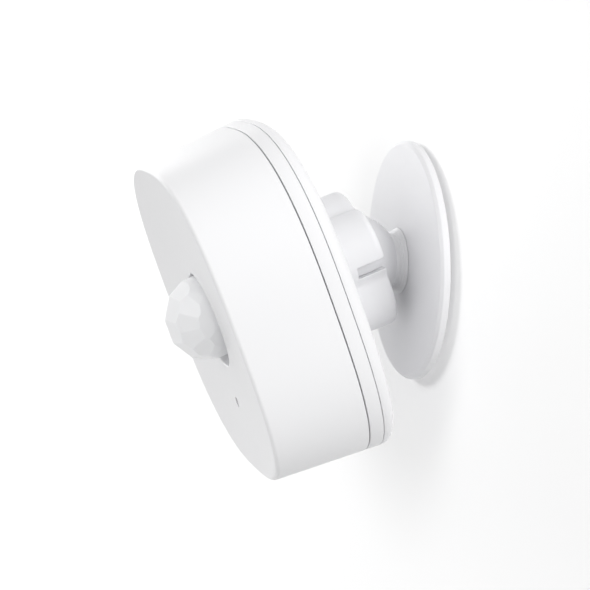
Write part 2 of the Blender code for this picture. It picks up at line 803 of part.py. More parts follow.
def make_lens():
    """Faceted dome cut by flat panes, hollow, with a flange behind the face."""
    flange_front = CHIP_FRONT
    flange_back = flange_front - LENS_FLANGE
    outside = paned_dome(0.0, flange_front)
    inside = paned_dome(LENS_WALL, flange_back)
    foot = sorted(outside.pop(), key=turn_of)
    mouth = sorted(inside.pop(), key=turn_of)
    rim = [corner.xy.normalized() * LENS_FLANGE_RADIUS for corner in foot]
    front_rim = [Vector((x, y, flange_front)) for x, y in rim]
    back_rim = [Vector((x, y, flange_back)) for x, y in rim]

    def build(work):
        for polygon in outside + inside:
            work.faces.new([work.verts.new(corner) for corner in polygon])
        for near, far in ((foot, front_rim), (front_rim, back_rim), (back_rim, mouth)):
            for index in range(len(near)):
                before = index - 1
                corners = (near[before], near[index], far[index], far[before])
                work.faces.new([work.verts.new(corner) for corner in corners])
        bmesh.ops.remove_doubles(work, verts=work.verts, dist=WELD)

    add("lens", mesh_from("lens", build), HEAD, LENS_PLASTIC, (0.0, LENS_RAISE, 0.0))


def turn_of(corner):
    return math.atan2(corner.y, corner.x)


def make_light_pipe():
    face = dish(PIPE_OFFSET, half_width(HOUSING_FRONT) - HEAD_EDGE)
    foot = CHIP_BACK + LED_HEIGHT + FIT
    profile = [
        (0.0, face - PIPE_RECESS),
        (PIPE_RADIUS, face - PIPE_RECESS),
        (PIPE_RADIUS, CHIP_FRONT),
        (PIPE_FLANGE_RADIUS, CHIP_FRONT),
        (PIPE_FLANGE_RADIUS, foot),
        (0.0, foot),
    ]
    place = (0.0, -PIPE_OFFSET, 0.0)
    turned("light_pipe", profile, HEAD, SMOKED_PLASTIC, SMALL_STEPS, location=place)
    box(
        "status_led",
        (0.0, -PIPE_OFFSET, CHIP_BACK + LED_HEIGHT / 2),
        (LED_SIZE, LED_SIZE / 2, LED_HEIGHT),
        HEAD,
        LENS_PLASTIC,
    )


def make_circuit_board():
    board = turned(
        "circuit_board",
        [(0.0, BOARD_FRONT), (BOARD_RADIUS, BOARD_FRONT), (BOARD_RADIUS, BOARD_BACK), (0.0, BOARD_BACK)],
        HEAD,
        BOARD_GREEN,
    )
    low = BOARD_BACK - FIT
    high = BOARD_FRONT + FIT
    holes = rods("board_holes", BOARD_SCREWS, BOARD_SCREW_RADIUS + FIT, low, high, HEAD)
    corners = rods("board_corners", FRAME_SCREWS, CORNER_BOSS_RADIUS + FIT, low, high, HEAD)
    combine(board, holes, "DIFFERENCE")
    combine(board, corners, "DIFFERENCE")
    for index, place in enumerate(BOARD_SCREWS):
        headed_screw(
            f"board_screw_{index + 1}",
            place,
            BOARD_SCREW_RADIUS,
            BOARD_SCREW_HEAD_RADIUS,
            BOARD_BACK - FIT - BOARD_SCREW_HEAD,
            BOARD_SCREW_HEAD,
            BOARD_FRONT + BOARD_SCREW_GRIP,
            HEAD,
        )
    chip_height = CHIP_FRONT - CHIP_BACK
    chip_middle = (CHIP_FRONT + CHIP_BACK) / 2
    box(
        "radio_shield",
        (0.0, LENS_FLANGE_RADIUS + SHIELD_MARGIN + SHIELD_LENGTH / 2, chip_middle),
        (SHIELD_WIDTH, SHIELD_LENGTH, chip_height),
        HEAD,
        STEEL,
    )
    antenna = around(PIPE_OFFSET, 1, ANTENNA_ANGLE)[0]
    box(
        "chip_antenna",
        (antenna[0], antenna[1], chip_middle),
        (ANTENNA_SIZE / 2, ANTENNA_SIZE, chip_height),
        HEAD,
        CHIP_BLACK,
        ANTENNA_ANGLE,
    )


def make_infrared_sensor():
    top = CHIP_BACK + PIR_HEIGHT
    rim = PIR_RADIUS + PIR_RIM
    profile = [
        (0.0, top),
        (PIR_RADIUS, top),
        (PIR_RADIUS, CHIP_BACK + PIR_RIM),
        (rim, CHIP_BACK + PIR_RIM),
        (rim, CHIP_BACK),
        (0.0, CHIP_BACK),
    ]
    can = turned("pir_can", profile, HEAD, STEEL, 2 * SMALL_STEPS, location=(0.0, LENS_RAISE, 0.0))
    recess = box(
        "window_recess",
        (0.0, LENS_RAISE, top),
        (PIR_WINDOW_WIDTH + 2 * FIT, PIR_WINDOW_HEIGHT + 2 * FIT, 4 * FIT),
        HEAD,
    )
    combine(can, recess, "DIFFERENCE")
    box(
        "pir_window",
        (0.0, LENS_RAISE, top - FIT / 2),
        (PIR_WINDOW_WIDTH, PIR_WINDOW_HEIGHT, FIT),
        HEAD,
        CHIP_BLACK,
    )


def make_coin_cell():
    chamfer = CELL_STEP / 2
    turned(
        "coin_cell",
        [
            (0.0, CELL_FRONT),
            (CELL_RADIUS - CELL_CRIMP, CELL_FRONT),
            (CELL_RADIUS - CELL_CRIMP, CELL_FRONT - CELL_STEP),
            (CELL_RADIUS - chamfer, CELL_FRONT - CELL_STEP),
            (CELL_RADIUS, CELL_FRONT - CELL_STEP - chamfer),
            (CELL_RADIUS, CELL_BACK + chamfer),
            (CELL_RADIUS - chamfer, CELL_BACK),
            (0.0, CELL_BACK),
        ],
        HEAD,
        STEEL,
        MIDDLE_STEPS,
    )


def leaf(name, points, width, paint):
    """A spring strip bent along (y, z) points and as wide as stated across X."""

    def build(work):
        left = [work.verts.new((-width / 2, y, z)) for y, z in points]
        right = [work.verts.new((width / 2, y, z)) for y, z in points]
        for index in range(len(points) - 1):
            work.faces.new((left[index], right[index], right[index + 1], left[index + 1]))

    strip = add(name, mesh_from(name, build), HEAD, paint)
    solid = strip.modifiers.new("thickness", "SOLIDIFY")
    solid.thickness = CONTACT_THICKNESS
    solid.offset = 0.0
    solid.use_even_offset = True


def make_contacts():
    half = CONTACT_THICKNESS / 2
    foot = BOARD_BACK - FIT - half
    touch = CELL_FRONT + FIT + half
    leaf(
        "contact_negative",
        [
            (-CONTACT_LENGTH, foot),
            (-CONTACT_LENGTH / 2, foot),
            (CONTACT_LENGTH / 2, touch),
            (CONTACT_LENGTH, touch),
        ],
        CONTACT_WIDTH,
        BRASS,
    )
    wall = CELL_RADIUS + FIT + half
    leaf(
        "contact_positive",
        [(wall, FLANGE_FRONT + 2 * FIT), (wall, foot), (BOARD_SCREW_CIRCLE, foot)],
        CONTACT_WIDTH,
        BRASS,
    )


def make_pair_button():
    place = around(BOARD_SCREW_CIRCLE, 1, BUTTON_ANGLE)[0]
    switch_back = BOARD_BACK - FIT - SWITCH_HEIGHT
    box(
        "switch_body",
        (place[0], place[1], BOARD_BACK - FIT - SWITCH_HEIGHT / 2),
        (SWITCH_WIDTH, SWITCH_LENGTH, SWITCH_HEIGHT),
        HEAD,
        CHIP_BLACK,
        BUTTON_ANGLE,
    )
    stop = FLANGE_FRONT + FIT
    profile = [
        (0.0, switch_back - FIT),
        (BUTTON_RADIUS, switch_back - FIT),
        (BUTTON_RADIUS, stop + BUTTON_COLLAR),
        (BUTTON_RADIUS + BUTTON_COLLAR, stop + BUTTON_COLLAR),
        (BUTTON_RADIUS + BUTTON_COLLAR, stop),
        (BUTTON_RADIUS, stop),
        (BUTTON_RADIUS, FLANGE_BACK),
        (0.0, FLANGE_BACK),
    ]
    turned("pair_button", profile, HEAD, GREY_PLASTIC, SMALL_STEPS, location=(place[0], place[1], 0.0))


def smooth_round_pieces():
    """Shade every piece smooth but the faceted lens."""
    for thing in PARTS.objects:
        if thing.type == "MESH" and thing.name != "lens":
            thing.data.shade_smooth()


make_wall_base()
make_ball()
make_friction_pad()
make_collar()
make_back_plate()
make_cover_ring()
make_inner_frame()
make_front_housing()
make_lens()
make_light_pipe()
make_circuit_board()
make_infrared_sensor()
make_coin_cell()
make_contacts()
make_pair_button()
smooth_round_pieces()
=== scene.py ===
"""Motion sensor on a ball-joint wall stand: the looks of its pieces over the packed frame.

Head pieces are drawn with local Z along the head's axis, forwards from the ball's centre.
Stand pieces are drawn with local Z out of the wall. Both are then put in the frame's place.
"""

import itertools
import json
from math import acos, asin, atan2, cos, degrees, hypot, pi, radians, sin, sqrt, tan

import bmesh
import bpy
from bpy.props import FloatProperty, FloatVectorProperty, IntProperty, PointerProperty
from bpy.types import Operator, Panel, PropertyGroup
from mathutils import Matrix, Vector


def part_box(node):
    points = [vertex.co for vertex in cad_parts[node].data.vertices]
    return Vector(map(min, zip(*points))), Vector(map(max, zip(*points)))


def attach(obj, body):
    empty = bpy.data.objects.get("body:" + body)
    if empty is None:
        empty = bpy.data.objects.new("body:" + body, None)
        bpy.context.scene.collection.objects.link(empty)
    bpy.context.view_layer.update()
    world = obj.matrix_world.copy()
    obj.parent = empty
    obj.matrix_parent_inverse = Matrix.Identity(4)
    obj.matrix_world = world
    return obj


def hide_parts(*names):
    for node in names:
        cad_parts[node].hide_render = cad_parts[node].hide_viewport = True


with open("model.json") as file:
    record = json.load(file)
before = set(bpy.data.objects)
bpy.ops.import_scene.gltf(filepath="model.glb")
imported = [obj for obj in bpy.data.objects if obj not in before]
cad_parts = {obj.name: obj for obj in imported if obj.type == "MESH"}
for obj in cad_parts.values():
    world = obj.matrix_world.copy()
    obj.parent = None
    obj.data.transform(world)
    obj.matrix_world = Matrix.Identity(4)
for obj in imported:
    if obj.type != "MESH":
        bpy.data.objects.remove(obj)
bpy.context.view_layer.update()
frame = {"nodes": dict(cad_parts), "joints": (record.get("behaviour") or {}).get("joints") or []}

bl_info = {
    "name": "Motion Sensor Looks",
    "version": (1, 0, 0),
    "blender": (4, 5, 0),
    "location": "3D View > Sidebar > Motion Sensor",
    "description": "Builds the visible pieces of a motion sensor on a ball-joint wall stand",
    "category": "Object",
}

MM = 0.001
JOINTS = {joint["name"]: joint for joint in frame["joints"]}
BALL_CENTRE = Vector(JOINTS["tilt"]["pos_m"])
HEAD_AXIS = Vector(JOINTS["roll"]["axis"])
HEAD_TILT = atan2(-HEAD_AXIS.z, -HEAD_AXIS.y)
HEAD_PLACE = Matrix.Translation(BALL_CENTRE) @ Matrix.Rotation(pi / 2 + HEAD_TILT, 4, "X")
STAND_PLACE = Matrix.Rotation(pi / 2, 4, "X")
ROUND = 2.0  # power of a circle
SHELL_POINTS = 288  # points round the head
ROUND_POINTS = 160  # round the stand and the collar
LENS_POINTS = 72
GUIDE_POINTS = 48  # round the light guide
WELD = 0.0005 * MM


def half_width_of(node):
    """Half a node's width along X."""
    low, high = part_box(node)
    return (high.x - low.x) / 2


def stations_of(node):
    """Where a head node starts and ends along the head's axis, from the ball's centre."""
    places = [(vert.co - BALL_CENTRE).dot(HEAD_AXIS) for vert in frame["nodes"][node].data.vertices]
    return min(places), max(places)


def heights_of(node):
    """Where a stand node starts and ends above the wall."""
    low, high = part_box(node)
    return -high.y, -low.y


HOUSING_BACK, HOUSING_FRONT = stations_of("front_housing")
RING_BACK, RING_FRONT = stations_of("cover_ring")
PLATE_BACK, BUMP_TOP = stations_of("back_plate")
COLLAR_BACK, COLLAR_FRONT = stations_of("socket_collar")
LENS_BACK, LENS_TOP = stations_of("lens")
GUIDE_BACK, GUIDE_FRONT = stations_of("light_pipe")
PAD_TOP = stations_of("friction_pad")[1]
DISC_BACK, DISC_FRONT = heights_of("base_disc")
TAPE_BACK, TAPE_FRONT = heights_of("adhesive_pad")
BALL_HEIGHT = -BALL_CENTRE.y


def length(name, description, default):
    """A length, given in millimetres."""
    default *= MM
    return FloatProperty(name=name, description=description, default=default, unit="LENGTH", precision=5)


def quantity(name, description, default):
    """How many there are of something."""
    return IntProperty(name=name, description=description, default=default, min=1)


def turn(name, description, default):
    """An angle, given in degrees."""
    kind = {"unit": "ROTATION", "subtype": "ANGLE"}
    return FloatProperty(name=name, description=description, default=radians(default), **kind)


def colour(name, description, default):
    """A colour, given as red, green and blue."""
    return FloatVectorProperty(
        name=name, description=description, default=default, size=3, subtype="COLOR", min=0.0, max=1.0
    )


def number(name, description, default):
    """A plain number."""
    return FloatProperty(name=name, description=description, default=default, subtype="FACTOR")


DRAFTED_OFF = 0.147  # millimetres that the sides close in between the rear plate and the twist seam
SEAM_HALF_WIDTH = half_width_of("back_plate") / MM - DRAFTED_OFF


class HeadSizes(PropertyGroup):
    """Sizes of the rounded-square head and its rear cover."""

    half_width: length("Half width", "Half the head's width at the twist seam", SEAM_HALF_WIDTH)
    squareness: number("Squareness", "Power of the rounded square: 2 is a circle", 2.75)
    draft: turn("Draft", "Angle at which the sides close towards the front", 4.0)
    front_edge: length("Front edge", "Radius of the front rim", 0.5)
    dish_depth: length("Dish depth", "How far the face sinks from its rim to its middle", 1.0)
    wall: length("Wall", "Thickness of the side wall", 1.6)
    face_wall: length("Face wall", "Thickness of the face at its middle", 1.5)
    seam_edge: length("Seam edge", "Radius of the edges along the seams", 0.08)
    seam_close: length("Seam closing", "How far each edge of the twist seam closes its gap", 0.07)
    hairline: length("Hairline", "How far the ring and the plate reach into the fixed seam", 0.11)
    plate_round: length("Rear round", "Radius of the rear edge", 1.2)
    plate_thickness: length("Plate thickness", "Thickness of the rear plate", 1.45)
    ring_bore: length("Ring bore", "Radius of the ring's bore", 17.8)
    channel: length("Bayonet channel", "Radius of the ring's channel for the lugs", 18.9)


class LensSizes(PropertyGroup):
    """Sizes of the faceted lens, its hole and the light guide."""

    hole: length("Hole", "Radius of the countersunk hole in the face", 6.2)
    hole_edge: length("Hole edge", "Radius of the hole's rim", 0.1)
    sink: length("Countersink", "Depth and width of the hole's slanted rim", 0.12)
    girdle: length("Girdle", "Radius where the dome meets its skirt", 5.15)
    girdle_drop: length("Girdle drop", "Distance from the dome's top down to its skirt", 3.3)
    skirt: length("Skirt", "Radius of the skirt where it leaves the face", 5.22)
    skirt_drop: length("Skirt drop", "Distance from the dome's top down to the skirt's foot", 5.5)
    bore: length("Bore", "Radius inside the lens, round the detector", 4.35)
    dome: length("Dome", "Radius of the sphere that the panes touch", 5.25)
    raised: length("Raised", "How far the lens sits above the hole's middle", 0.5)
    column_turn: turn("Column turn", "Angle between neighbouring columns of panes", 32.0)
    row_turn: turn("Row turn", "Angle between neighbouring rows of panes", 31.0)
    pane_edge: length("Pane edge", "How deep the edges between panes are blunted", 0.012)
    wall: length("Wall", "Thickness of the lens", 0.6)
    flange: length("Flange", "Thickness of the flange behind the face", 0.7)
    guide_offset: length("Guide offset", "Distance from the axis to the light guide", 11.0)
    guide_hole: length("Guide hole", "Radius of the light guide's hole", 0.65)


class CollarSizes(PropertyGroup):
    """Sizes of the lobed socket collar."""

    radius: length("Radius", "Distance from the axis to a lobe's crown", 9.05)
    lobes: quantity("Lobes", "Number of lobes round the collar", 4)
    petals: quantity("Petals", "Number of petals, with a slot between each two", 2)
    lobe: length("Lobe", "Radius of one lobe", 4.4)
    lobe_turn: turn("Lobe turn", "Angle from a slot to the next lobe's crown", 29.0)
    crease: turn("Crease", "Angle over which two lobes blend", 4.0)
    rear_round: length("Rear round", "Radius of the petals' rear edge", 0.9)
    land: length("Lip land", "Flat left around the socket's mouth", 0.5)
    socket: length("Socket", "Radius of the socket", 6.12)
    slot_width: length("Slot width", "Width of the slots between the petals", 1.5)
    slot_depth: length("Slot depth", "Depth of the slots", 3.8)
    slot_edge: length("Slot edge", "Radius of the edges along the slots", 0.16)


class StandSizes(PropertyGroup):
    """Sizes of the ball, its neck and the wall disc."""

    ball: length("Ball", "Radius of the ball", half_width_of("ball_stud") / MM)
    neck: length("Neck", "Radius of the neck under the ball", 3.45)
    ring_pitch: length("Ring pitch", "Height of one ring of the neck", 0.3)
    ring_step: length("Ring step", "How much each ring of the neck widens towards the disc", 0.17)
    rings: quantity("Neck rings", "Number of rings round the neck", 4)
    groove: length("Groove", "Depth of the fine grooves round the neck", 0.06)
    neck_gap: length("Neck gap", "Running gap between the neck and the disc", 0.03)
    disc: length("Disc", "Radius of the wall disc", half_width_of("base_disc") / MM)
    disc_rim: length("Disc rim", "Thickness of the disc at its rim", 1.25)
    disc_edge: length("Disc edge", "Bevel of the disc's front edge", 0.4)
    tape: length("Tape", "Radius of the foam tape", half_width_of("adhesive_pad") / MM)


class Finishes(PropertyGroup):
    """Colours and grain of the visible finishes."""

    housing: colour("Housing", "White moulded shells", (0.86, 0.86, 0.87))
    stand: colour("Stand", "White ball, collar and disc", (0.84, 0.84, 0.855))
    lens: colour("Lens", "Milky lens", (0.94, 0.945, 0.96))
    tape: colour("Foam tape", "Closed foam", (0.72, 0.72, 0.71))
    grain: length("Grain", "Size of the moulded texture's grain", 0.11)


class StageSettings(PropertyGroup):
    """Camera, light and backdrop."""

    azimuth: turn("Azimuth", "Camera's turn about the upright axis", 75.14)
    elevation: turn("Elevation", "Camera's height above the horizon, as an angle", 8.07)
    distance: length("Distance", "Camera's distance from the ball's centre", 248.53)
    aside: length("Aside", "Frame's shift to the side of the ball's centre", 6.86)
    above: length("Above", "Frame's shift above the ball's centre", 4.09)
    focal: number("Focal length", "Lens in millimetres on a 36 mm sensor", 122.03)
    paper: colour("Paper", "Wall and floor colour", (0.86, 0.86, 0.86))
    glow: number("Glow", "White added to the wall where it is seen", 0.03)
    floor_glow: number("Floor glow", "White added to the floor where it is seen", 0.15)
    ambient: number("Ambient", "Strength of the soft light from above", 0.69)
    ambient_low: number("Low ambient", "Strength of the soft light from below", 0.58)


def rounded_square(half_width, station, power, count):
    """One ring of points: power 2 is a circle, larger is squarer."""
    ring = []
    for step in range(count):
        angle = 2 * pi * step / count
        across = abs(cos(angle)) ** power + abs(sin(angle)) ** power
        reach = half_width / across ** (1 / power)
        ring.append((reach * cos(angle), reach * sin(angle), station))
    return ring


def rectangle(left, low, right, high):
    """Corners of a flat rectangle."""
    return [(left, low), (right, low), (right, high), (left, high)]


def arc(start, end, steps):
    """Angles from start to end in degrees, both included."""
    return [radians(start + (end - start) * step / steps) for step in range(steps + 1)]


def rounded(corners, closed=False, steps=6):
    """Profile of (reach, station, power) from corners of (reach, station, radius, power)."""
    profile = []
    for index, (reach, station, radius, power) in enumerate(corners):
        end = not closed and index in (0, len(corners) - 1)
        if radius == 0.0 or end:
            profile.append((reach, station, power))
            continue
        here = Vector((reach, station))
        back = (Vector(corners[index - 1][:2]) - here).normalized()
        ahead = (Vector(corners[(index + 1) % len(corners)][:2]) - here).normalized()
        half = back.angle(ahead) / 2
        centre = here + (back + ahead).normalized() * radius / sin(half)
        first = here + back * radius / tan(half) - centre
        last = here + ahead * radius / tan(half) - centre
        begin = atan2(first.y, first.x)
        sweep = (atan2(last.y, last.x) - begin + pi) % (2 * pi) - pi
        for step in range(steps + 1):
            angle = begin + sweep * step / steps
            across = centre.x + radius * cos(angle)
            profile.append((across, centre.y + radius * sin(angle), power))
    return profile


def turned(corners):
    """Profile of a round piece from corners of (reach, station, radius)."""
    return rounded([(*corner, ROUND) for corner in corners])


def ball_arc(radius, angles, centre=0.0):
    """Profile along a ball, at angles from its axis."""
    return [(radius * sin(angle), centre + radius * cos(angle), ROUND) for angle in angles]


def squarer(power, share):
    """Power of a ring that is part of the way from a circle to a rounded square."""
    return ROUND + (power - ROUND) * share


def skin(profile, count, closed=False):
    """Mesh work that joins a profile's rings; a ring of no reach becomes one pole."""
    work = bmesh.new()
    rows = []
    for reach, station, power in profile:
        ring = rounded_square(reach, station, power, count) if reach else [(0.0, 0.0, station)]
        rows.append([work.verts.new(point) for point in ring])
    pairs = list(zip(rows, rows[1:]))
    if closed:
        pairs.append((rows[-1], rows[0]))
    for near, far in pairs:
        join_rows(work, near, far, count)
    bmesh.ops.recalc_face_normals(work, faces=work.faces)
    return work


def join_rows(work, near, far, count):
    """Faces between two rings of points, either of which may be one pole."""
    for index in range(count):
        after = (index + 1) % count
        corners = [near[step % len(near)] for step in (index, after)]
        corners += [far[step % len(far)] for step in (after, index)]
        work.faces.new(list(dict.fromkeys(corners)))


def mesh_object(name, work):
    """A scene object from mesh work, which is freed."""
    mesh = bpy.data.meshes.new(name)
    work.to_mesh(mesh)
    work.free()
    thing = bpy.data.objects.new(name, mesh)
    bpy.context.scene.collection.objects.link(thing)
    return thing


def settle(thing):
    """Replace an object's mesh by what its modifiers make of it."""
    bpy.context.view_layer.update()
    made = bpy.data.meshes.new_from_object(thing.evaluated_get(bpy.context.evaluated_depsgraph_get()))
    thing.modifiers.clear()
    old = thing.data
    thing.data = made
    bpy.data.meshes.remove(old)
    made.name = thing.name


def carve(thing, tool):
    """Cut a tool out of an object; the tool is removed."""
    boolean = thing.modifiers.new(tool.name, "BOOLEAN")
    boolean.operation = "DIFFERENCE"
    boolean.solver = "EXACT"
    boolean.object = tool
    settle(thing)
    bpy.data.objects.remove(tool, do_unlink=True)


def publish(thing, place, look, body, node, sharp=32.0):
    """Put a finished piece in the frame: its place, edges, look, body and node."""
    mesh = thing.data
    mesh.transform(place)
    mesh.materials.clear()
    mesh.materials.append(finish(look))
    mesh.shade_smooth()
    mesh.set_sharp_from_angle(angle=radians(sharp))
    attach(thing, body)
    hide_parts(node)


def fill(tree, node, inputs):
    """Set a node's inputs to values, or join them to other nodes' outputs."""
    for label, value in inputs.items():
        if isinstance(value, bpy.types.NodeSocket):
            tree.links.new(value, node.inputs[label])
        else:
            node.inputs[label].default_value = value


def make(tree, kind, inputs=None, **settings):
    """The outputs of a new node, whose settings and inputs are filled in."""
    node = tree.nodes.new(kind)
    for key, setting in settings.items():
        setattr(node, key, setting)
    fill(tree, node, inputs or {})
    return node.outputs


def repeat_tree():
    """Geometry nodes that repeat one object round Z, weld it and give it its finish."""
    tree = bpy.data.node_groups.new("repeat_round_axis", "GeometryNodeTree")
    tree.is_modifier = True
    for label, kind in (("Piece", "Object"), ("Count", "Int"), ("Finish", "Material")):
        tree.interface.new_socket(label, in_out="INPUT", socket_type="NodeSocket" + kind)
    tree.interface.new_socket("Geometry", in_out="OUTPUT", socket_type="NodeSocketGeometry")
    given = make(tree, "NodeGroupInput")
    order = make(tree, "GeometryNodeInputIndex")
    step = make(tree, "ShaderNodeMath", {0: 2 * pi, 1: given["Count"]}, operation="DIVIDE")
    angle = make(tree, "ShaderNodeMath", {0: order["Index"], 1: step["Value"]}, operation="MULTIPLY")
    upright = make(tree, "ShaderNodeCombineXYZ", {"Z": angle["Value"]})
    points = make(tree, "GeometryNodePoints", {"Count": given["Count"]})
    source = make(tree, "GeometryNodeObjectInfo", {"Object": given["Piece"]})
    places = {"Points": points["Points"], "Instance": source["Geometry"], "Rotation": upright["Vector"]}
    spread = make(tree, "GeometryNodeInstanceOnPoints", places)
    real = make(tree, "GeometryNodeRealizeInstances", {"Geometry": spread["Instances"]})
    weld = make(tree, "GeometryNodeMergeByDistance", {"Geometry": real["Geometry"], "Distance": WELD})
    coating = {"Geometry": weld["Geometry"], "Material": given["Finish"]}
    coat = make(tree, "GeometryNodeSetMaterial", coating)
    make(tree, "NodeGroupOutput", {"Geometry": coat["Geometry"]})
    return tree


def repeated(name, source, count, look):
    """A mesh object with a source repeated round Z; the source is removed."""
    holder = mesh_object(name, bmesh.new())
    modifier = holder.modifiers.new("repeat", "NODES")
    modifier.node_group = repeat_tree()
    values = {"Piece": source, "Count": count, "Finish": finish(look)}
    for socket in modifier.node_group.interface.items_tree:
        if socket.name in values:
            modifier[socket.identifier] = values[socket.name]
    settle(holder)
    bpy.data.objects.remove(source, do_unlink=True)
    return holder


NOISE_LOW = 0.3  # noise mostly stays between these two
NOISE_HIGH = 0.7


class NodeDesk:
    """Lays out one material's nodes round its shader."""

    def __init__(self, name, shade, roughness, metallic=0.0):
        self.material = bpy.data.materials.new(name)
        self.material.use_nodes = True
        self.tree = self.material.node_tree
        self.dress({"Base Color": (*shade, 1.0), "Roughness": roughness, "Metallic": metallic})
        self.where = make(self.tree, "ShaderNodeTexCoord")["Object"]

    def dress(self, inputs):
        fill(self.tree, self.tree.nodes["Principled BSDF"], inputs)

    def noise(self, scale, detail=2.0, where=None):
        inputs = {"Vector": where or self.where, "Scale": scale, "Detail": detail}
        return make(self.tree, "ShaderNodeTexNoise", inputs)["Fac"]

    def stretched(self, scale):
        return make(self.tree, "ShaderNodeMapping", {"Vector": self.where, "Scale": scale})["Vector"]

    def cells(self, scale, feature="F1"):
        inputs = {"Vector": self.where, "Scale": scale}
        return make(self.tree, "ShaderNodeTexVoronoi", inputs, feature=feature)["Distance"]

    def tint(self, driver, low, high, begin=NOISE_LOW, end=NOISE_HIGH):
        ramp = make(self.tree, "ShaderNodeValToRGB", {"Fac": driver})["Color"]
        for index, (place, shade) in enumerate(((begin, low), (end, high))):
            element = ramp.node.color_ramp.elements[index]
            element.position = place
            element.color = (*shade, 1.0)
        self.dress({"Base Color": ramp})

    def polish(self, driver, low, high):
        inputs = {"Value": driver, "From Min": NOISE_LOW, "From Max": NOISE_HIGH}
        inputs |= {"To Min": low, "To Max": high}
        self.dress({"Roughness": make(self.tree, "ShaderNodeMapRange", inputs)["Result"]})

    def relief(self, driver, height, strength):
        inputs = {"Height": driver, "Distance": height, "Strength": strength}
        self.dress({"Normal": make(self.tree, "ShaderNodeBump", inputs)["Normal"]})


def shaded(shade, factor):
    """A colour made darker or lighter."""
    return tuple(channel * factor for channel in shade)


def satin_plastic(name, shade, roughness, grain, relief):
    """Spark-textured moulded plastic: fine grain, with slow drifts of tone and polish."""
    desk = NodeDesk(name, shade, roughness)
    desk.dress({"Specular IOR Level": 0.3})
    desk.tint(desk.noise(45.0), shaded(shade, 0.985), shade)
    desk.polish(desk.noise(1.0 / (6 * grain)), roughness - 0.05, roughness + 0.05)
    desk.relief(desk.noise(1.0 / grain, 3.0), grain / 6, relief)
    return desk.material


def milky_plastic(name, shade):
    """Cloudy lens plastic that passes a little light, with faint flow marks."""
    desk = NodeDesk(name, shade, 0.3)
    desk.tint(desk.noise(160.0), shaded(shade, 0.97), shade)
    desk.polish(desk.noise(700.0), 0.28, 0.32)
    desk.relief(desk.noise(2500.0), 0.005 * MM, 0.1)
    desk.dress({"Subsurface Weight": 0.35, "Subsurface Scale": 0.8 * MM, "IOR": 1.5})
    desk.dress({"Subsurface Radius": (1.0, 1.0, 1.0)})
    return desk.material


def smoked_plastic(name, shade):
    """Dark, polished plastic of the light guide."""
    desk = NodeDesk(name, shade, 0.18)
    desk.tint(desk.noise(900.0), (0.022, 0.022, 0.026), (0.038, 0.038, 0.044))
    desk.polish(desk.noise(1800.0), 0.12, 0.24)
    desk.relief(desk.noise(4000.0), 0.005 * MM, 0.2)
    return desk.material


def closed_foam(name, shade):
    """Foam tape: small closed cells cut open at the faces."""
    desk = NodeDesk(name, shade, 0.9)
    cells = desk.cells(3600.0)
    desk.tint(cells, shaded(shade, 0.82), shade, 0.05, 0.5)
    desk.polish(desk.noise(1500.0), 0.82, 0.95)
    desk.relief(cells, 0.06 * MM, 0.6)
    return desk.material


def matte_rubber(name, shade):
    """Dull rubber with a fine, uneven skin."""
    desk = NodeDesk(name, shade, 0.85)
    desk.tint(desk.noise(400.0), shaded(shade, 0.85), shade)
    desk.polish(desk.noise(900.0), 0.78, 0.92)
    desk.relief(desk.noise(6000.0, 3.0), 0.02 * MM, 0.4)
    return desk.material


def drawn_metal(name, shade, roughness, stretch):
    """Plated metal with fine marks along one direction."""
    desk = NodeDesk(name, shade, roughness, 1.0)
    marks = desk.noise(1.0, 4.0, desk.stretched(stretch))
    desk.tint(marks, shaded(shade, 0.86), shade)
    desk.polish(marks, roughness - 0.08, roughness + 0.1)
    desk.relief(marks, 0.006 * MM, 0.4)
    return desk.material


def solder_mask(name, shade):
    """Green board lacquer with the faint relief of copper tracks under it."""
    desk = NodeDesk(name, shade, 0.38)
    tracks = desk.cells(520.0, "DISTANCE_TO_EDGE")
    desk.tint(tracks, shaded(shade, 0.75), shaded(shade, 1.25), 0.04, 0.09)
    desk.polish(desk.noise(800.0), 0.3, 0.46)
    desk.relief(tracks, 0.03 * MM, 0.35)
    return desk.material


def moulded_epoxy(name, shade):
    """Speckled moulding compound of the board's parts."""
    desk = NodeDesk(name, shade, 0.5)
    desk.tint(desk.noise(1500.0), shaded(shade, 0.8), shaded(shade, 1.2))
    desk.polish(desk.noise(2500.0), 0.42, 0.58)
    desk.relief(desk.noise(9000.0, 3.0), 0.01 * MM, 0.35)
    return desk.material


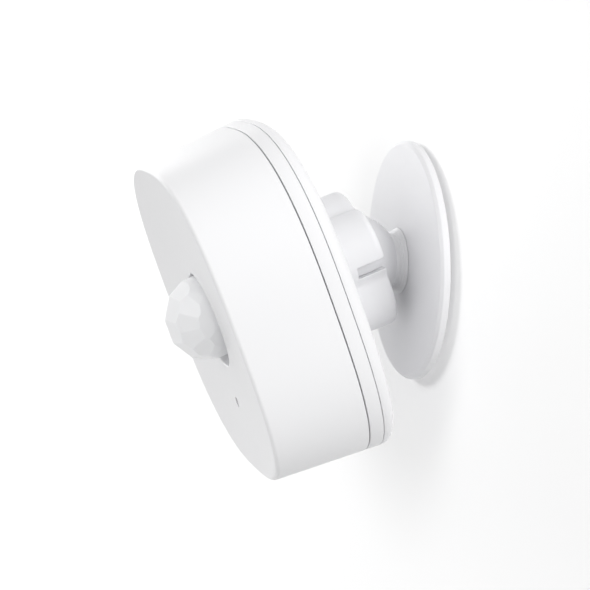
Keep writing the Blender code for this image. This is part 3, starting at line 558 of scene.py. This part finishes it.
def finish(name):
    """The named finish, made the first time it is asked for."""
    found = bpy.data.materials.get(name)
    if found:
        return found
    looks = bpy.context.scene.sensor_finishes
    grain = looks.grain
    recipes = {
        "housing_satin": (satin_plastic, looks.housing, 0.42, grain, 0.1),
        "cover_satin": (satin_plastic, looks.housing, 0.45, grain, 0.12),
        "stand_satin": (satin_plastic, looks.stand, 0.48, grain, 0.14),
        "ball_satin": (satin_plastic, looks.stand, 0.36, grain * 0.7, 0.06),
        "inner_satin": (satin_plastic, (0.8, 0.8, 0.81), 0.55, grain * 1.5, 0.16),
        "button_satin": (satin_plastic, (0.52, 0.53, 0.55), 0.5, grain, 0.14),
        "lens_milk": (milky_plastic, looks.lens),
        "led_milk": (milky_plastic, (0.85, 0.84, 0.78)),
        "guide_smoke": (smoked_plastic, (0.03, 0.03, 0.035)),
        "tape_foam": (closed_foam, looks.tape),
        "pad_rubber": (matte_rubber, (0.72, 0.72, 0.73)),
        "screw_steel": (drawn_metal, (0.6, 0.6, 0.61), 0.34, (2500.0, 2500.0, 600.0)),
        "can_steel": (drawn_metal, (0.63, 0.63, 0.64), 0.3, (900.0, 3200.0, 3200.0)),
        "cell_steel": (drawn_metal, (0.66, 0.66, 0.67), 0.24, (300.0, 2600.0, 2600.0)),
        "contact_brass": (drawn_metal, (0.74, 0.62, 0.38), 0.28, (3000.0, 400.0, 400.0)),
        "board_mask": (solder_mask, (0.03, 0.2, 0.09)),
        "chip_epoxy": (moulded_epoxy, (0.04, 0.04, 0.045)),
    }
    maker, shade, *numbers = recipes[name]
    return maker(name, tuple(shade), *numbers)


def side_at(sizes, station):
    """Half width of the drafted head at a station."""
    return sizes.half_width - (station - HOUSING_BACK) * tan(sizes.draft)


def face_at(sizes, reach):
    """Station of the dished face at a distance from the axis."""
    edge = side_at(sizes, HOUSING_FRONT) - sizes.front_edge
    return HOUSING_FRONT - sizes.dish_depth * (1 - (reach / edge) ** 2)


def guide_shape(name, sizes, corners):
    """A round object on the light guide's axis, from corners of (reach, station, radius)."""
    work = skin(turned(corners), GUIDE_POINTS)
    bmesh.ops.translate(work, vec=(0.0, -sizes.guide_offset, 0.0), verts=work.verts)
    return mesh_object(name, work)


RIM_ARC = arc(4.0, 92.0, 12)  # from the drafted side to the face
FACE_STEPS = 24  # from the face's rim to the lens hole
HOLE_LEAD = 1.1  # times the hole's rim, where the face's slope is taken


class SENSOR_OT_front_housing(Operator):
    """Build the drafted front shell with its dished face, lens hole and light-guide hole"""

    bl_idname = "sensor.front_housing"
    bl_label = "Front Housing"

    def execute(self, context):
        sizes = context.scene.sensor_head
        lens = context.scene.sensor_lens
        power = sizes.squareness
        seam = sizes.seam_edge
        side = side_at(sizes, HOUSING_FRONT)
        edge = side - sizes.front_edge
        back = HOUSING_BACK - sizes.seam_close
        back_side = side_at(sizes, back)
        cavity = HOUSING_FRONT - sizes.dish_depth - sizes.face_wall
        inner_back = back_side - sizes.wall
        inner_front = side_at(sizes, cavity) - sizes.wall
        corners = [
            (inner_back, cavity, 0.0, power),
            (inner_back, back, seam, power),
            (back_side, back, seam, power),
            (side, HOUSING_FRONT, 0.0, power),
        ]
        profile = rounded(corners)[1:-1]
        for angle in RIM_ARC:
            reach = edge + sizes.front_edge * cos(angle)
            profile.append((reach, HOUSING_FRONT - sizes.front_edge * (1 - sin(angle)), power))
        rim = lens.hole + lens.hole_edge
        throat = lens.hole - lens.sink
        for step in range(1, FACE_STEPS):
            share = 1 - step / FACE_STEPS
            reach = rim + (edge - rim) * share
            profile.append((reach, face_at(sizes, reach), squarer(power, share)))
        lead = rim * HOLE_LEAD
        corners = [
            (lead, face_at(sizes, lead), 0.0),
            (lens.hole, face_at(sizes, lens.hole), lens.hole_edge),
            (throat, face_at(sizes, lens.hole) - lens.sink, lens.hole_edge),
            (throat, cavity, 0.0),
        ]
        profile += turned(corners)[1:]
        for share in (0.25, 0.5, 0.75):
            profile.append((throat + (inner_front - throat) * share, cavity, squarer(power, share)))
        profile.append((inner_front, cavity, power))
        shell = mesh_object("housing_shell", skin(profile, SHELL_POINTS, closed=True))
        corners = rectangle(0.0, cavity - MM, lens.guide_hole, LENS_TOP)
        carve(shell, guide_shape("guide_hole", lens, [(*corner, 0.0) for corner in corners]))
        publish(shell, HEAD_PLACE, "housing_satin", "head", "front_housing")
        return {"FINISHED"}


RING_SHELF = 0.4 * MM  # in front of the bayonet channel


class SENSOR_OT_cover_ring(Operator):
    """Build the cover's ring between the two seams, with its bayonet channel"""

    bl_idname = "sensor.cover_ring"
    bl_label = "Cover Ring"

    def execute(self, context):
        sizes = context.scene.sensor_head
        power = sizes.squareness
        seam = sizes.seam_edge
        shelf = RING_FRONT - RING_SHELF
        front = RING_FRONT + sizes.seam_close
        back = RING_BACK - sizes.hairline
        corners = [
            (side_at(sizes, back), back, seam, power),
            (side_at(sizes, front), front, seam, power),
            (sizes.ring_bore, front, seam, ROUND),
            (sizes.ring_bore, shelf, 0.0, ROUND),
            (sizes.channel, shelf, 0.0, ROUND),
            (sizes.channel, back, seam, ROUND),
        ]
        work = skin(rounded(corners, closed=True), SHELL_POINTS, closed=True)
        ring = mesh_object("cover_ring_band", work)
        publish(ring, HEAD_PLACE, "cover_satin", "rear_cover", "cover_ring")
        return {"FINISHED"}


PAD_ROOM = 0.3 * MM  # between the friction pad and the plate's bump


class SENSOR_OT_back_plate(Operator):
    """Build the rounded rear plate with the bump that holds the friction pad"""

    bl_idname = "sensor.back_plate"
    bl_label = "Back Plate"

    def execute(self, context):
        sizes = context.scene.sensor_head
        power = sizes.squareness
        plate_front = PLATE_BACK + sizes.plate_thickness + sizes.hairline
        pocket = PAD_TOP + PAD_ROOM
        mouth = sqrt(pocket ** 2 - PLATE_BACK ** 2)
        side = side_at(sizes, plate_front)
        profile = ball_arc(pocket, arc(0.0, degrees(acos(PLATE_BACK / pocket)), 16))
        flat = side - sizes.plate_round
        for share in (0.2, 0.4, 0.6, 0.8):
            profile.append((mouth + (flat - mouth) * share, PLATE_BACK, squarer(power, share)))
        for angle in arc(0.0, 90.0, 10):
            reach = flat + sizes.plate_round * sin(angle)
            profile.append((reach, PLATE_BACK + sizes.plate_round * (1 - cos(angle)), power))
        corners = [
            (side, PLATE_BACK + sizes.plate_round, 0.0, power),
            (side, plate_front, sizes.seam_edge, power),
            (flat, plate_front, 0.0, power),
        ]
        profile += rounded(corners)[1:]
        profile += ball_arc(BUMP_TOP, arc(degrees(acos(plate_front / BUMP_TOP)), 0.0, 16))
        plate = mesh_object("rear_plate", skin(profile, SHELL_POINTS))
        publish(plate, HEAD_PLACE, "cover_satin", "rear_cover", "back_plate")
        return {"FINISHED"}


class SENSOR_OT_socket_collar(Operator):
    """Build one lobed petal of the socket collar and repeat it round the axis"""

    bl_idname = "sensor.socket_collar"
    bl_label = "Socket Collar"

    def execute(self, context):
        sizes = context.scene.sensor_collar
        work = bmesh.new()
        columns = []
        for place in collar_places(sizes):
            columns.append([work.verts.new(point) for point in collar_column(sizes, *place)])
        for near, far in zip(columns, columns[1:]):
            join_rows(work, near, far, len(near))
        petal = mesh_object("collar_petal", work)
        collar = repeated("socket_petals", petal, sizes.petals, "stand_satin")
        tidy_normals(collar)
        publish(collar, HEAD_PLACE, "stand_satin", "rear_cover", "socket_collar")
        return {"FINISHED"}


def tidy_normals(thing):
    """Weld doubled points, drop faces of no size and turn every face outwards."""
    work = bmesh.new()
    work.from_mesh(thing.data)
    bmesh.ops.remove_doubles(work, verts=work.verts, dist=WELD)
    bmesh.ops.dissolve_degenerate(work, edges=work.edges, dist=WELD)
    bmesh.ops.recalc_face_normals(work, faces=work.faces)
    work.to_mesh(thing.data)
    work.free()


def lobe_reach(sizes, angle):
    """Distance from the axis to the collar's lobed outline."""
    centre = sizes.radius - sizes.lobe
    pitch = 2 * pi / sizes.lobes
    offset = abs((angle - sizes.lobe_turn + pitch / 2) % pitch - pitch / 2)
    offset = pitch / 2 - hypot(pitch / 2 - offset, sizes.crease)
    return centre * cos(offset) + sqrt(sizes.lobe ** 2 - (centre * sin(offset)) ** 2)


SLOT_BEFORE = -1.0  # share of the column in the middle of the slot before a petal
SLOT_AFTER = 2.0  # and after it


def collar_places(sizes):
    """Columns of one petal: (over an open slot, share, distance in from the slot, inset)."""
    edge = sizes.slot_edge
    rounds = []
    for angle in arc(90.0, 0.0, 4):
        rounds.append((edge * (1 - sin(angle)), edge * (1 - cos(angle))))
    steps = ROUND_POINTS // sizes.petals
    before = [(True, share, 0.0, 0.0) for share in (SLOT_BEFORE, 0.0)]
    near = [(False, 0.0, depth, inset) for depth, inset in rounds]
    middle = [(False, step / steps, edge, 0.0) for step in range(1, steps)]
    far = [(False, 1.0, depth, inset) for depth, inset in reversed(rounds)]
    after = [(True, share, 0.0, 0.0) for share in (1.0, SLOT_AFTER)]
    return before + near + middle + far + after


def collar_angle(sizes, share, depth, reach):
    """Angle of a column at a distance from the axis, between two neighbouring slots."""
    span = 2 * pi / sizes.petals
    if share in (SLOT_BEFORE, SLOT_AFTER):
        return 0.0 if share == SLOT_BEFORE else span
    wall = asin((sizes.slot_width / 2 + depth) / reach)
    return wall + (span - 2 * wall) * share


SETTLING_ROUNDS = 5  # for a column's angle and reach to agree
WALL_STEPS = 8  # along the collar in front of the slots
SLOT_FOOT = 0.15 * MM  # where the petals' edges begin, from the slots' floor


def collar_column(sizes, is_open, share, depth, inset):
    """One closed column of the collar, from its front edge over the rear and back inside."""
    floor = COLLAR_BACK + sizes.slot_depth
    mouth = COLLAR_BACK + sizes.slot_edge
    lip = sqrt(sizes.socket ** 2 - COLLAR_BACK ** 2) + sizes.land

    def outer(station, tuck, fade):
        angle = collar_angle(sizes, share, depth, sizes.radius)
        for _ in range(SETTLING_ROUNDS):
            reach = lobe_reach(sizes, angle)
            reach -= tuck * (reach - lip) / (sizes.radius - lip)
            reach -= inset * fade
            angle = collar_angle(sizes, share, depth, reach)
        return reach, angle, station

    def inner(station, fade):
        reach = sqrt(sizes.socket ** 2 - station ** 2) + inset * fade
        return reach, collar_angle(sizes, share, depth, reach), station

    points = []
    for step in range(WALL_STEPS + 1):
        points.append(outer(COLLAR_FRONT + (floor - COLLAR_FRONT) * step / WALL_STEPS, 0.0, 0.0))
    rear_start = COLLAR_BACK + sizes.rear_round
    over = []
    for station in (floor - SLOT_FOOT, floor - 3 * SLOT_FOOT, (floor + rear_start) / 2):
        over.append(outer(station, 0.0, 1.0))
    for angle in arc(0.0, 90.0, 14):
        station = rear_start - (sizes.rear_round - inset) * sin(angle)
        over.append(outer(station, sizes.rear_round * (1 - cos(angle)), 1.0))
    for angle in arc(0.0, 90.0, 3):
        reach, _, station = inner(mouth, 1.0)
        reach += sizes.slot_edge * (1 - sin(angle))
        station -= sizes.slot_edge * cos(angle) - inset * cos(angle)
        over.append((reach, collar_angle(sizes, share, depth, reach), station))
    for part in (0.3, 0.6, 0.9):
        over.append(inner(mouth + (sizes.slot_depth - sizes.slot_edge) * part, 1.0))
    if is_open:
        first = outer(floor, 0.0, 0.0)
        last = inner(floor, 0.0)
        for index in range(len(over)):
            reach = first[0] + (last[0] - first[0]) * (index + 1) / (len(over) + 1)
            points.append((reach, collar_angle(sizes, share, depth, reach), floor))
    else:
        points += over
    for step in range(WALL_STEPS + 1):
        points.append(inner(floor + (COLLAR_FRONT - floor) * step / WALL_STEPS, 0.0))
    return [(reach * cos(angle), reach * sin(angle), station) for reach, angle, station in points]


NECK_ROUND = 0.3 * MM  # round at the top of the neck
NECK_EDGE = 0.05 * MM  # round at its foot


class SENSOR_OT_ball_stud(Operator):
    """Build the ball and its finely grooved neck"""

    bl_idname = "sensor.ball_stud"
    bl_label = "Ball And Neck"

    def execute(self, context):
        sizes = context.scene.sensor_stand
        meets = degrees(asin(sizes.neck / sizes.ball))
        profile = ball_arc(sizes.ball, arc(0.0, 180.0 - meets, 72), BALL_HEIGHT)
        foot = DISC_FRONT + sizes.neck_gap
        flare = sizes.ring_step * sizes.rings
        top = foot + sizes.ring_pitch * sizes.rings
        corners = [(*profile[-1][:2], 0.0), (sizes.neck, top, NECK_ROUND)]
        for index in range(1, sizes.rings):
            share = index / sizes.rings
            reach = sizes.neck + flare * share
            height = top + (foot - top) * share
            corners.append((reach, height + sizes.groove, 0.0))
            corners.append((reach - sizes.groove, height, 0.0))
            corners.append((reach + sizes.groove / 2, height - sizes.groove, 0.0))
        corners.append((sizes.neck + flare, foot, NECK_EDGE))
        corners.append((0.0, foot, 0.0))
        profile += turned(corners)[1:]
        ball = mesh_object("ball_and_neck", skin(profile, ROUND_POINTS))
        publish(ball, STAND_PLACE, "ball_satin", "ball", "ball_stud")
        return {"FINISHED"}


TAPE_ROOM = 0.3 * MM  # between the tape and its recess
TAPE_EDGE = 0.08 * MM  # round of the tape's edges
RECESS_ROUND = 0.1 * MM
SHOULDER_WIDTH = 0.4 * MM  # flat left round the neck
SHOULDER_ROUND = 0.5 * MM
BEVEL_ROUND = 0.25 * MM  # where the disc's face meets its bevel
RIM_ROUND = 0.2 * MM


class SENSOR_OT_wall_base(Operator):
    """Build the wall disc with its bevelled rim, and the foam tape behind it"""

    bl_idname = "sensor.wall_base"
    bl_label = "Wall Disc And Tape"

    def execute(self, context):
        sizes = context.scene.sensor_stand
        rim_front = DISC_BACK + sizes.disc_rim
        recess = sizes.tape + TAPE_ROOM
        ceiling = TAPE_FRONT + TAPE_ROOM
        shoulder = sizes.neck + sizes.ring_step * sizes.rings + SHOULDER_WIDTH
        corners = [
            (0.0, DISC_FRONT, 0.0),
            (shoulder, DISC_FRONT, SHOULDER_ROUND),
            (sizes.disc - sizes.disc_edge, rim_front, BEVEL_ROUND),
            (sizes.disc, rim_front - sizes.disc_edge, RIM_ROUND),
            (sizes.disc, DISC_BACK, RIM_ROUND),
            (recess, DISC_BACK, RECESS_ROUND),
            (recess, ceiling, RECESS_ROUND),
            (0.0, ceiling, 0.0),
        ]
        disc = mesh_object("wall_disc", skin(turned(corners), ROUND_POINTS))
        publish(disc, STAND_PLACE, "stand_satin", "wall_base", "base_disc")
        corners = [
            (0.0, TAPE_FRONT, 0.0),
            (sizes.tape, TAPE_FRONT, TAPE_EDGE),
            (sizes.tape, TAPE_BACK, TAPE_EDGE),
            (0.0, TAPE_BACK, 0.0),
        ]
        tape = mesh_object("foam_tape", skin(turned(corners), ROUND_POINTS))
        publish(tape, STAND_PLACE, "tape_foam", "wall_base", "adhesive_pad")
        return {"FINISHED"}


PANE_COLUMNS = (-2.5, -1.5, -0.5, 0.5, 1.5, 2.5)  # in column turns from the middle
SHIFTED_COLUMN = 1.5  # these columns sit half a row higher
PANE_ROWS = range(-3, 4)
LOWEST_PANE = 0.1  # panes that face further sideways are left out
NEIGHBOURS = 1.4  # panes within this many row turns share an edge
PANE_WELD = 0.002 * MM
PANE_SHARP = 6.0  # degrees, so that even the shallow edges between panes show


def pane_normals(sizes):
    """Directions of the lens's panes, in upright columns."""
    normals = []
    for column in PANE_COLUMNS:
        shift = 0.5 if abs(column) == SHIFTED_COLUMN else 0.0
        across = column * sizes.column_turn
        level = cos(across)
        for row in PANE_ROWS:
            along = (row + shift) * sizes.row_turn
            normals.append(Vector((sin(across), level * sin(along), level * cos(along))))
    return [normal for normal in normals if normal.z > LOWEST_PANE]


def clipped(polygon, normal, limit):
    """The part of a polygon on the near side of a plane."""
    kept = []
    for here, after in zip(polygon, polygon[1:] + polygon[:1]):
        over = here.dot(normal) - limit
        over_after = after.dot(normal) - limit
        if over <= 0.0:
            kept.append(here)
        if over * over_after < 0.0:
            kept.append(here.lerp(after, over / (over - over_after)))
    return kept


def paned_solid(sizes, inset, base, girdle, skirt):
    """Faces of the lens's dome as lists of corners; the last one is its round base."""
    lean = atan2(girdle - skirt, sizes.skirt_drop - sizes.girdle_drop)
    limit = girdle * cos(lean) - (LENS_TOP - sizes.girdle_drop) * sin(lean)
    planes = []
    for step in range(LENS_POINTS):
        angle = 2 * pi * step / LENS_POINTS
        side = Vector((cos(angle), sin(angle), 0.0)) * cos(lean)
        planes.append((side - Vector((0.0, 0.0, sin(lean))), limit))
    centre = LENS_TOP - sizes.dome / cos(sizes.column_turn / 2)
    panes = pane_normals(sizes)
    planes += [(normal, sizes.dome - inset + normal.z * centre) for normal in panes]
    for one, other in itertools.combinations(panes, 2):
        apart = one.angle(other)
        if apart < NEIGHBOURS * sizes.row_turn:
            normal = (one + other).normalized()
            edge = (sizes.dome - inset) / cos(apart / 2) - sizes.pane_edge
            planes.append((normal, edge + normal.z * centre))
    planes.append((Vector((0.0, 0.0, -1.0)), -base))
    wide = 4 * sizes.girdle  # past every other plane
    faces = []
    for normal, limit in planes:
        side = normal.orthogonal().normalized() * wide
        rise = normal.cross(side)
        middle = normal * limit
        polygon = [middle + side + rise, middle - side + rise]
        polygon += [middle - side - rise, middle + side - rise]
        for other, other_limit in planes:
            if other is not normal:
                polygon = clipped(polygon, other, other_limit)
        if len(polygon) > 2:
            faces.append(polygon)
    return faces


def turn_of(corner):
    """A corner's angle round the axis."""
    return atan2(corner.y, corner.x)


class SENSOR_OT_lens(Operator):
    """Cut the milky lens's panes from a round dome, hollow it and add its flange"""

    bl_idname = "sensor.lens"
    bl_label = "Faceted Lens"

    def execute(self, context):
        sizes = context.scene.sensor_lens
        flange_front = LENS_BACK + sizes.flange
        reach = half_width_of("lens")
        skirt_foot = LENS_TOP - sizes.skirt_drop
        outside = paned_solid(sizes, 0.0, skirt_foot, sizes.girdle, sizes.skirt)
        inside = paned_solid(sizes, sizes.wall, LENS_BACK, sizes.bore, sizes.bore)
        foot = outside.pop()
        mouth = inside.pop()
        if len(foot) != LENS_POINTS or len(mouth) != LENS_POINTS:
            raise RuntimeError("the lens's panes reach its base")
        foot.sort(key=turn_of)
        mouth.sort(key=turn_of)
        rim = [corner.xy.normalized() * reach for corner in foot]
        rows = [
            foot,
            [Vector((x, y, flange_front)) for x, y, _ in foot],
            [Vector((x, y, flange_front)) for x, y in rim],
            [Vector((x, y, LENS_BACK)) for x, y in rim],
            mouth,
        ]
        work = bmesh.new()
        for near, far in zip(rows, rows[1:]):
            rings = [[work.verts.new(corner) for corner in row] for row in (near, far)]
            join_rows(work, *rings, LENS_POINTS)
        for polygon in outside + inside:
            work.faces.new([work.verts.new(corner) for corner in polygon])
        bmesh.ops.remove_doubles(work, verts=work.verts, dist=PANE_WELD)
        bmesh.ops.recalc_face_normals(work, faces=work.faces)
        bmesh.ops.translate(work, vec=(0.0, sizes.raised, 0.0), verts=work.verts)
        open_edges = [edge for edge in work.edges if not edge.is_manifold]
        if open_edges:
            raise RuntimeError(f"the lens isn't closed: {len(open_edges)} open edges")
        lens = mesh_object("lens_dome", work)
        publish(lens, HEAD_PLACE, "lens_milk", "head", "lens", PANE_SHARP)
        return {"FINISHED"}


GUIDE_ROOM = 0.2 * MM  # between the light guide and its hole
GUIDE_FOOT = 0.5 * MM  # thickness of the guide's wider foot
GUIDE_TIP_ROUND = 0.12 * MM
GUIDE_FOOT_ROUND = 0.06 * MM


class SENSOR_OT_light_guide(Operator):
    """Build the smoked light guide that ends below the face"""

    bl_idname = "sensor.light_guide"
    bl_label = "Light Guide"

    def execute(self, context):
        sizes = context.scene.sensor_lens
        tip = sizes.guide_hole - GUIDE_ROOM
        step = GUIDE_BACK + GUIDE_FOOT
        foot = half_width_of("light_pipe")
        corners = [
            (0.0, GUIDE_FRONT, 0.0),
            (tip, GUIDE_FRONT, GUIDE_TIP_ROUND),
            (tip, step, 0.0),
            (foot, step, GUIDE_FOOT_ROUND),
            (foot, GUIDE_BACK, GUIDE_FOOT_ROUND),
            (0.0, GUIDE_BACK, 0.0),
        ]
        guide = guide_shape("light_guide", sizes, corners)
        publish(guide, HEAD_PLACE, "guide_smoke", "head", "light_pipe")
        return {"FINISHED"}


KEPT_FINISHES = {
    "inner_satin": ["inner_frame"],
    "button_satin": ["pair_button"],
    "pad_rubber": ["friction_pad"],
    "led_milk": ["status_led"],
    "board_mask": ["circuit_board"],
    "can_steel": ["pir_can", "radio_shield"],
    "cell_steel": ["coin_cell"],
    "contact_brass": ["contact_negative", "contact_positive"],
    "chip_epoxy": ["pir_window", "chip_antenna", "switch_body"],
    "screw_steel": [name for name in frame["nodes"] if "_screw" in name],
}


class SENSOR_OT_inner_finishes(Operator):
    """Give the inner pieces that keep their solids a finish of their own"""

    bl_idname = "sensor.inner_finishes"
    bl_label = "Inner Finishes"

    def execute(self, context):
        for name, nodes in KEPT_FINISHES.items():
            for node in nodes:
                mesh = frame["nodes"][node].data
                mesh.materials.clear()
                mesh.materials.append(finish(name))
        return {"FINISHED"}


def seen_rays(tree):
    """1 for rays that show the backdrop: to the camera, mirrored or through clear plastic."""
    path = make(tree, "ShaderNodeLightPath")
    total = path["Is Camera Ray"]
    for label in ("Is Glossy Ray", "Is Transmission Ray"):
        total = make(tree, "ShaderNodeMath", {0: total, 1: path[label]}, operation="MAXIMUM")["Value"]
    return total


def paper_material(name, shade, glow, one_sided):
    """Pale paper that glows a little where it is seen and keeps the shadow."""
    made = bpy.data.materials.new(name)
    made.use_nodes = True
    tree = made.node_tree
    tree.nodes.clear()
    paper = make(tree, "ShaderNodeBsdfDiffuse", {"Color": (*shade, 1.0)})
    amount = make(tree, "ShaderNodeMath", {0: seen_rays(tree), 1: glow}, operation="MULTIPLY")
    light = make(tree, "ShaderNodeEmission", {"Strength": amount["Value"]})
    surface = make(tree, "ShaderNodeAddShader", {0: paper["BSDF"], 1: light["Emission"]})
    if one_sided:
        side = make(tree, "ShaderNodeNewGeometry")
        clear = make(tree, "ShaderNodeBsdfTransparent")
        sides = {"Fac": side["Backfacing"], 1: surface["Shader"], 2: clear["BSDF"]}
        surface = make(tree, "ShaderNodeMixShader", sides)
    make(tree, "ShaderNodeOutputMaterial", {"Surface": surface["Shader"]})
    return made


def sheet(name, corners, material):
    """A flat backdrop sheet that doesn't dim or colour the light on the sensor."""
    work = bmesh.new()
    work.faces.new([work.verts.new(corner) for corner in corners])
    thing = mesh_object(name, work)
    thing.data.materials.append(material)
    thing.visible_diffuse = False
    thing.visible_shadow = False
    return thing


def soft_box(name, place, width, power):
    """A square soft light aimed at the ball's centre."""
    lamp = bpy.data.lights.new(name, "AREA")
    lamp.shape = "SQUARE"
    lamp.size = width
    lamp.energy = power
    thing = bpy.data.objects.new(name, lamp)
    thing.location = place
    thing.rotation_euler = (BALL_CENTRE - Vector(place)).to_track_quat("-Z", "Y").to_euler()
    bpy.context.scene.collection.objects.link(thing)
    return thing


def gathered(name, things):
    """A collection of objects for a light to reach or to be blocked by."""
    group = bpy.data.collections.new(name)
    for thing in things:
        group.objects.link(thing)
    return group


WHITE = (1.0, 1.0, 1.0, 1.0)
WALL_DEPTH = 0.0002  # metres, as the stage's other sizes
WALL_REACH = 1.2
FLOOR_LEVEL = -0.3
FLOOR_REACH = 3.0
# Name, place, width and power in watts of the lamps on the sensor.
LAMPS = (
    ("side_light", (0.8, 0.5, 0.35), 0.6, 5.2),
    ("front_light", (0.45, -0.85, 0.25), 0.6, 2.2),
    ("far_light", (-0.95, -0.25, 0.2), 0.6, 2.8),
)
# The same for the lamp that lights the wall alone and is shaded by the disc alone.
WALL_LAMP = ("wall_light", (-0.68, -0.62, 0.3), 0.3, 4.0)


class SENSOR_OT_stage(Operator):
    """Set the wall, the floor, the lights and the camera"""

    bl_idname = "sensor.stage"
    bl_label = "Stage"

    def execute(self, context):
        stage = context.scene.sensor_stage
        shade = tuple(stage.paper)
        wall_paper = paper_material("wall_paper", shade, stage.glow, one_sided=True)
        corners = rectangle(-WALL_REACH, FLOOR_LEVEL, WALL_REACH, WALL_REACH)
        wall = sheet("stage_wall", [(x, WALL_DEPTH, z) for x, z in corners], wall_paper)
        floor_paper = paper_material("floor_paper", shade, stage.floor_glow, one_sided=False)
        corners = rectangle(-FLOOR_REACH, -FLOOR_REACH, FLOOR_REACH, FLOOR_REACH)
        sheet("stage_floor", [(x, y, FLOOR_LEVEL) for x, y in corners], floor_paper)
        for lamp in LAMPS:
            soft_box(*lamp)
        linking = soft_box(*WALL_LAMP).light_linking
        linking.receiver_collection = gathered("lit_wall", [wall])
        linking.blocker_collection = gathered("shading_disc", [bpy.data.objects["wall_disc"]])
        light_world(context.scene, stage)
        place_camera(context.scene, stage)
        context.scene.view_settings.view_transform = "Standard"
        return {"FINISHED"}


def light_world(scene, stage):
    """A white backdrop where it is seen, and a softer light from all round elsewhere."""
    world = bpy.data.worlds.new("studio")
    scene.world = world
    world.use_nodes = True
    tree = world.node_tree
    tree.nodes.clear()
    direction = make(tree, "ShaderNodeTexCoord")
    split = make(tree, "ShaderNodeSeparateXYZ", {"Vector": direction["Generated"]})
    levels = {"Value": split["Z"], "From Min": -1.0, "To Min": stage.ambient_low, "To Max": stage.ambient}
    level = make(tree, "ShaderNodeMapRange", levels)
    around = make(tree, "ShaderNodeBackground", {"Color": WHITE, "Strength": level["Result"]})
    seen = make(tree, "ShaderNodeBackground", {"Color": WHITE, "Strength": 1.0})
    choice = {"Fac": seen_rays(tree), 1: around["Background"], 2: seen["Background"]}
    surface = make(tree, "ShaderNodeMixShader", choice)
    make(tree, "ShaderNodeOutputWorld", {"Surface": surface["Shader"]})


SENSOR_WIDTH = 36.0
CLIP_START = 0.01
CLIP_END = 20.0


def place_camera(scene, stage):
    """Put the camera where the photograph was taken from."""
    azimuth = stage.azimuth
    rise = sin(stage.elevation)
    right = Vector((cos(azimuth), sin(azimuth), 0.0))
    up = Vector((-sin(azimuth) * rise, cos(azimuth) * rise, cos(stage.elevation)))
    back = right.cross(up)
    lens = bpy.data.cameras.new("photo_camera")
    lens.sensor_width = SENSOR_WIDTH
    lens.lens = stage.focal
    lens.clip_start = CLIP_START
    lens.clip_end = CLIP_END
    camera = bpy.data.objects.new("photo_camera", lens)
    camera.location = BALL_CENTRE + back * stage.distance - right * stage.aside - up * stage.above
    camera.rotation_euler = Matrix((right, up, back)).transposed().to_euler()
    scene.collection.objects.link(camera)
    scene.camera = camera


GROUPS = {
    "sensor_head": HeadSizes,
    "sensor_lens": LensSizes,
    "sensor_collar": CollarSizes,
    "sensor_stand": StandSizes,
    "sensor_finishes": Finishes,
    "sensor_stage": StageSettings,
}
OPERATORS = (
    SENSOR_OT_wall_base,
    SENSOR_OT_ball_stud,
    SENSOR_OT_socket_collar,
    SENSOR_OT_back_plate,
    SENSOR_OT_cover_ring,
    SENSOR_OT_front_housing,
    SENSOR_OT_lens,
    SENSOR_OT_light_guide,
    SENSOR_OT_inner_finishes,
    SENSOR_OT_stage,
)


class SENSOR_PT_pieces(Panel):
    """Pieces and sizes of the motion sensor"""

    bl_idname = "SENSOR_PT_pieces"
    bl_label = "Motion Sensor"
    bl_space_type = "VIEW_3D"
    bl_region_type = "UI"
    bl_category = "Motion Sensor"

    def draw(self, context):
        for operator in OPERATORS:
            self.layout.operator(operator.bl_idname)
        for holder, group in GROUPS.items():
            settings = getattr(context.scene, holder)
            column = self.layout.column()
            column.label(text=group.__doc__)
            for key in group.__annotations__:
                column.prop(settings, key)


def register():
    for holder, group in GROUPS.items():
        bpy.utils.register_class(group)
        setattr(bpy.types.Scene, holder, PointerProperty(type=group))
    for operator in OPERATORS:
        bpy.utils.register_class(operator)
    bpy.utils.register_class(SENSOR_PT_pieces)


def unregister():
    bpy.utils.unregister_class(SENSOR_PT_pieces)
    for operator in reversed(OPERATORS):
        bpy.utils.unregister_class(operator)
    for holder, group in reversed(GROUPS.items()):
        delattr(bpy.types.Scene, holder)
        bpy.utils.unregister_class(group)


def main():
    register()
    bpy.ops.sensor.wall_base()
    bpy.ops.sensor.ball_stud()
    bpy.ops.sensor.socket_collar()
    bpy.ops.sensor.back_plate()
    bpy.ops.sensor.cover_ring()
    bpy.ops.sensor.front_housing()
    bpy.ops.sensor.lens()
    bpy.ops.sensor.light_guide()
    bpy.ops.sensor.inner_finishes()
    bpy.ops.sensor.stage()


if __name__ == "__main__":
    main()
